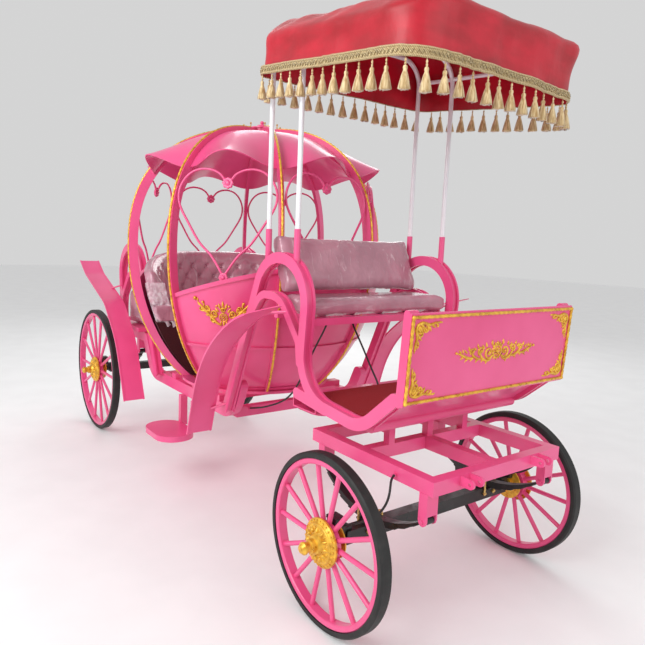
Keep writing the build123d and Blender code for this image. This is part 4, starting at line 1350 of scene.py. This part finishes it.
FRILL_TOP = 1.335
FRILL_FALL = 0.285
FRILL_TURN = 77.0
FRILL_ROWS = 33
FRILL_COLUMNS = 15


def add_wrap_frill(finish):
    """Loose torn film that hangs at the near end of the curved sofa."""
    rows = []
    for step in range(FRILL_ROWS + 1):
        share = step / FRILL_ROWS
        z = FRILL_TOP - FRILL_FALL * share
        ring = []
        for k in range(FRILL_COLUMNS + 1):
            across = k / FRILL_COLUMNS
            radius = outline_radius(z) - 0.200 + 0.125 * across
            ragged = noise.noise(Vector((across * 5, share * 7, 2.0)))
            crumple = noise.noise(Vector((across * 11, share * 16, 7.0)))
            turn = 180 + FRILL_TURN + 1.6 * share + 1.5 * ragged * share + 0.7 * crumple
            fall = 0.030 * noise.noise(Vector((across * 6, 3.0, 1.0))) * share
            ring.append(round_body(turn, radius, z + fall + 0.006 * crumple))
        rows.append(ring)
    heap = Heap()
    heap.grid(rows)
    heap.piece("sofa_wrap_film", finish["film"], "carriage", "wrapped_leather")


# ---------------- wire hearts

HEART_TURNS = (0, 45, 135, 180, 225, 315)
HEART_WIRE = 0.0068
HEART_LEAN = 6
HEART_INSET = 0.058
# A flower's (share of its radius, lift) from its edge to its middle.
FLOWER_PROFILE = (
    (1.0, 0.0), (0.97, 0.006), (0.80, 0.008), (0.62, 0.006), (0.45, 0.006), (0.40, 0.011), (0.15, 0.013),
)


def add_hearts(finish):
    """Smooth wire hearts with a flower at the dip and at the foot."""
    eave = WAIST + 0.595 * CROWN
    lobe = eave - 0.018
    low = WAIST - 0.135
    outline = (
        (0.000, lobe - 0.080), (0.016, lobe - 0.062), (0.046, lobe - 0.026), (0.092, lobe - 0.004),
        (0.150, lobe + 0.001), (0.206, lobe - 0.016), (0.250, lobe - 0.056), (0.278, lobe - 0.112),
        (0.281, lobe - 0.172), (0.262, lobe - 0.226), (0.226, lobe - 0.287), (0.150, lobe - 0.405),
        (0.075, low + 0.112), (0.000, low),
    )
    wires = Heap()
    flowers = Heap()
    for turn in HEART_TURNS:
        place = heart_place(turn, low)
        for side in SIDES:
            path = smooth_curve([place(side * y, z, 0) for y, z in outline], 6)
            wires.solid(tube_rows(path, HEART_WIRE, 10))
        flower(flowers, place, lobe - 0.075, 0.031)
        flower(flowers, place, low - 0.006, 0.026)
    frame_wires = wires.piece("heart_frames", finish["pink"], "carriage", "pink_paint")
    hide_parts("heart_wires")
    flowers.piece("heart_flowers", finish["pink"], "carriage", "pink_paint")


def heart_place(turn, low):
    """Heart drawing coordinates (across, height, outwards) in one bay."""
    lean = math.radians(HEART_LEAN)
    angle = math.radians(turn)
    out = Vector((math.cos(angle), math.sin(angle), 0))
    side = Vector((-math.sin(angle), math.cos(angle), 0))

    def place(y, z, height):
        rise = z - low
        reach = BODY_RADIUS - HEART_INSET - math.sin(lean) * rise + height * math.cos(lean)
        foot = Vector((BODY_AXIS.x, 0, low + math.cos(lean) * rise + height * math.sin(lean)))
        return foot + out * reach + side * y

    return place


def flower(heap, place, z, radius):
    """A flat cast flower with scalloped edges, a ring and a button, on both faces."""
    for face in SIDES:
        rows = []
        for share, lift in FLOWER_PROFILE:
            ring = []
            for k in range(40):
                turn = 2 * math.pi * k / 40
                scallop = 1 + 0.07 * share ** 2 * math.cos(8 * turn)
                wide = radius * share * scallop
                ring.append(place(wide * math.cos(turn), z + wide * math.sin(turn), face * lift))
            rows.append(ring)
        heap.solid(rows)


# ---------------- the whole model

def main():
    """Make every soft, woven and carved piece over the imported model."""
    add_camera()
    add_studio()
    finish = make_materials()
    paint_frame(finish)
    add_cords(finish)
    add_canopy(finish)
    add_cushions(finish)
    add_sofa_back(finish)
    add_body_ropes(finish)
    add_dash_trim(finish)
    add_body_crests(finish)
    add_hearts(finish)
    add_hub_relief(finish)
    add_spring_bolts(finish)
    add_wrap_frill(finish)


main()
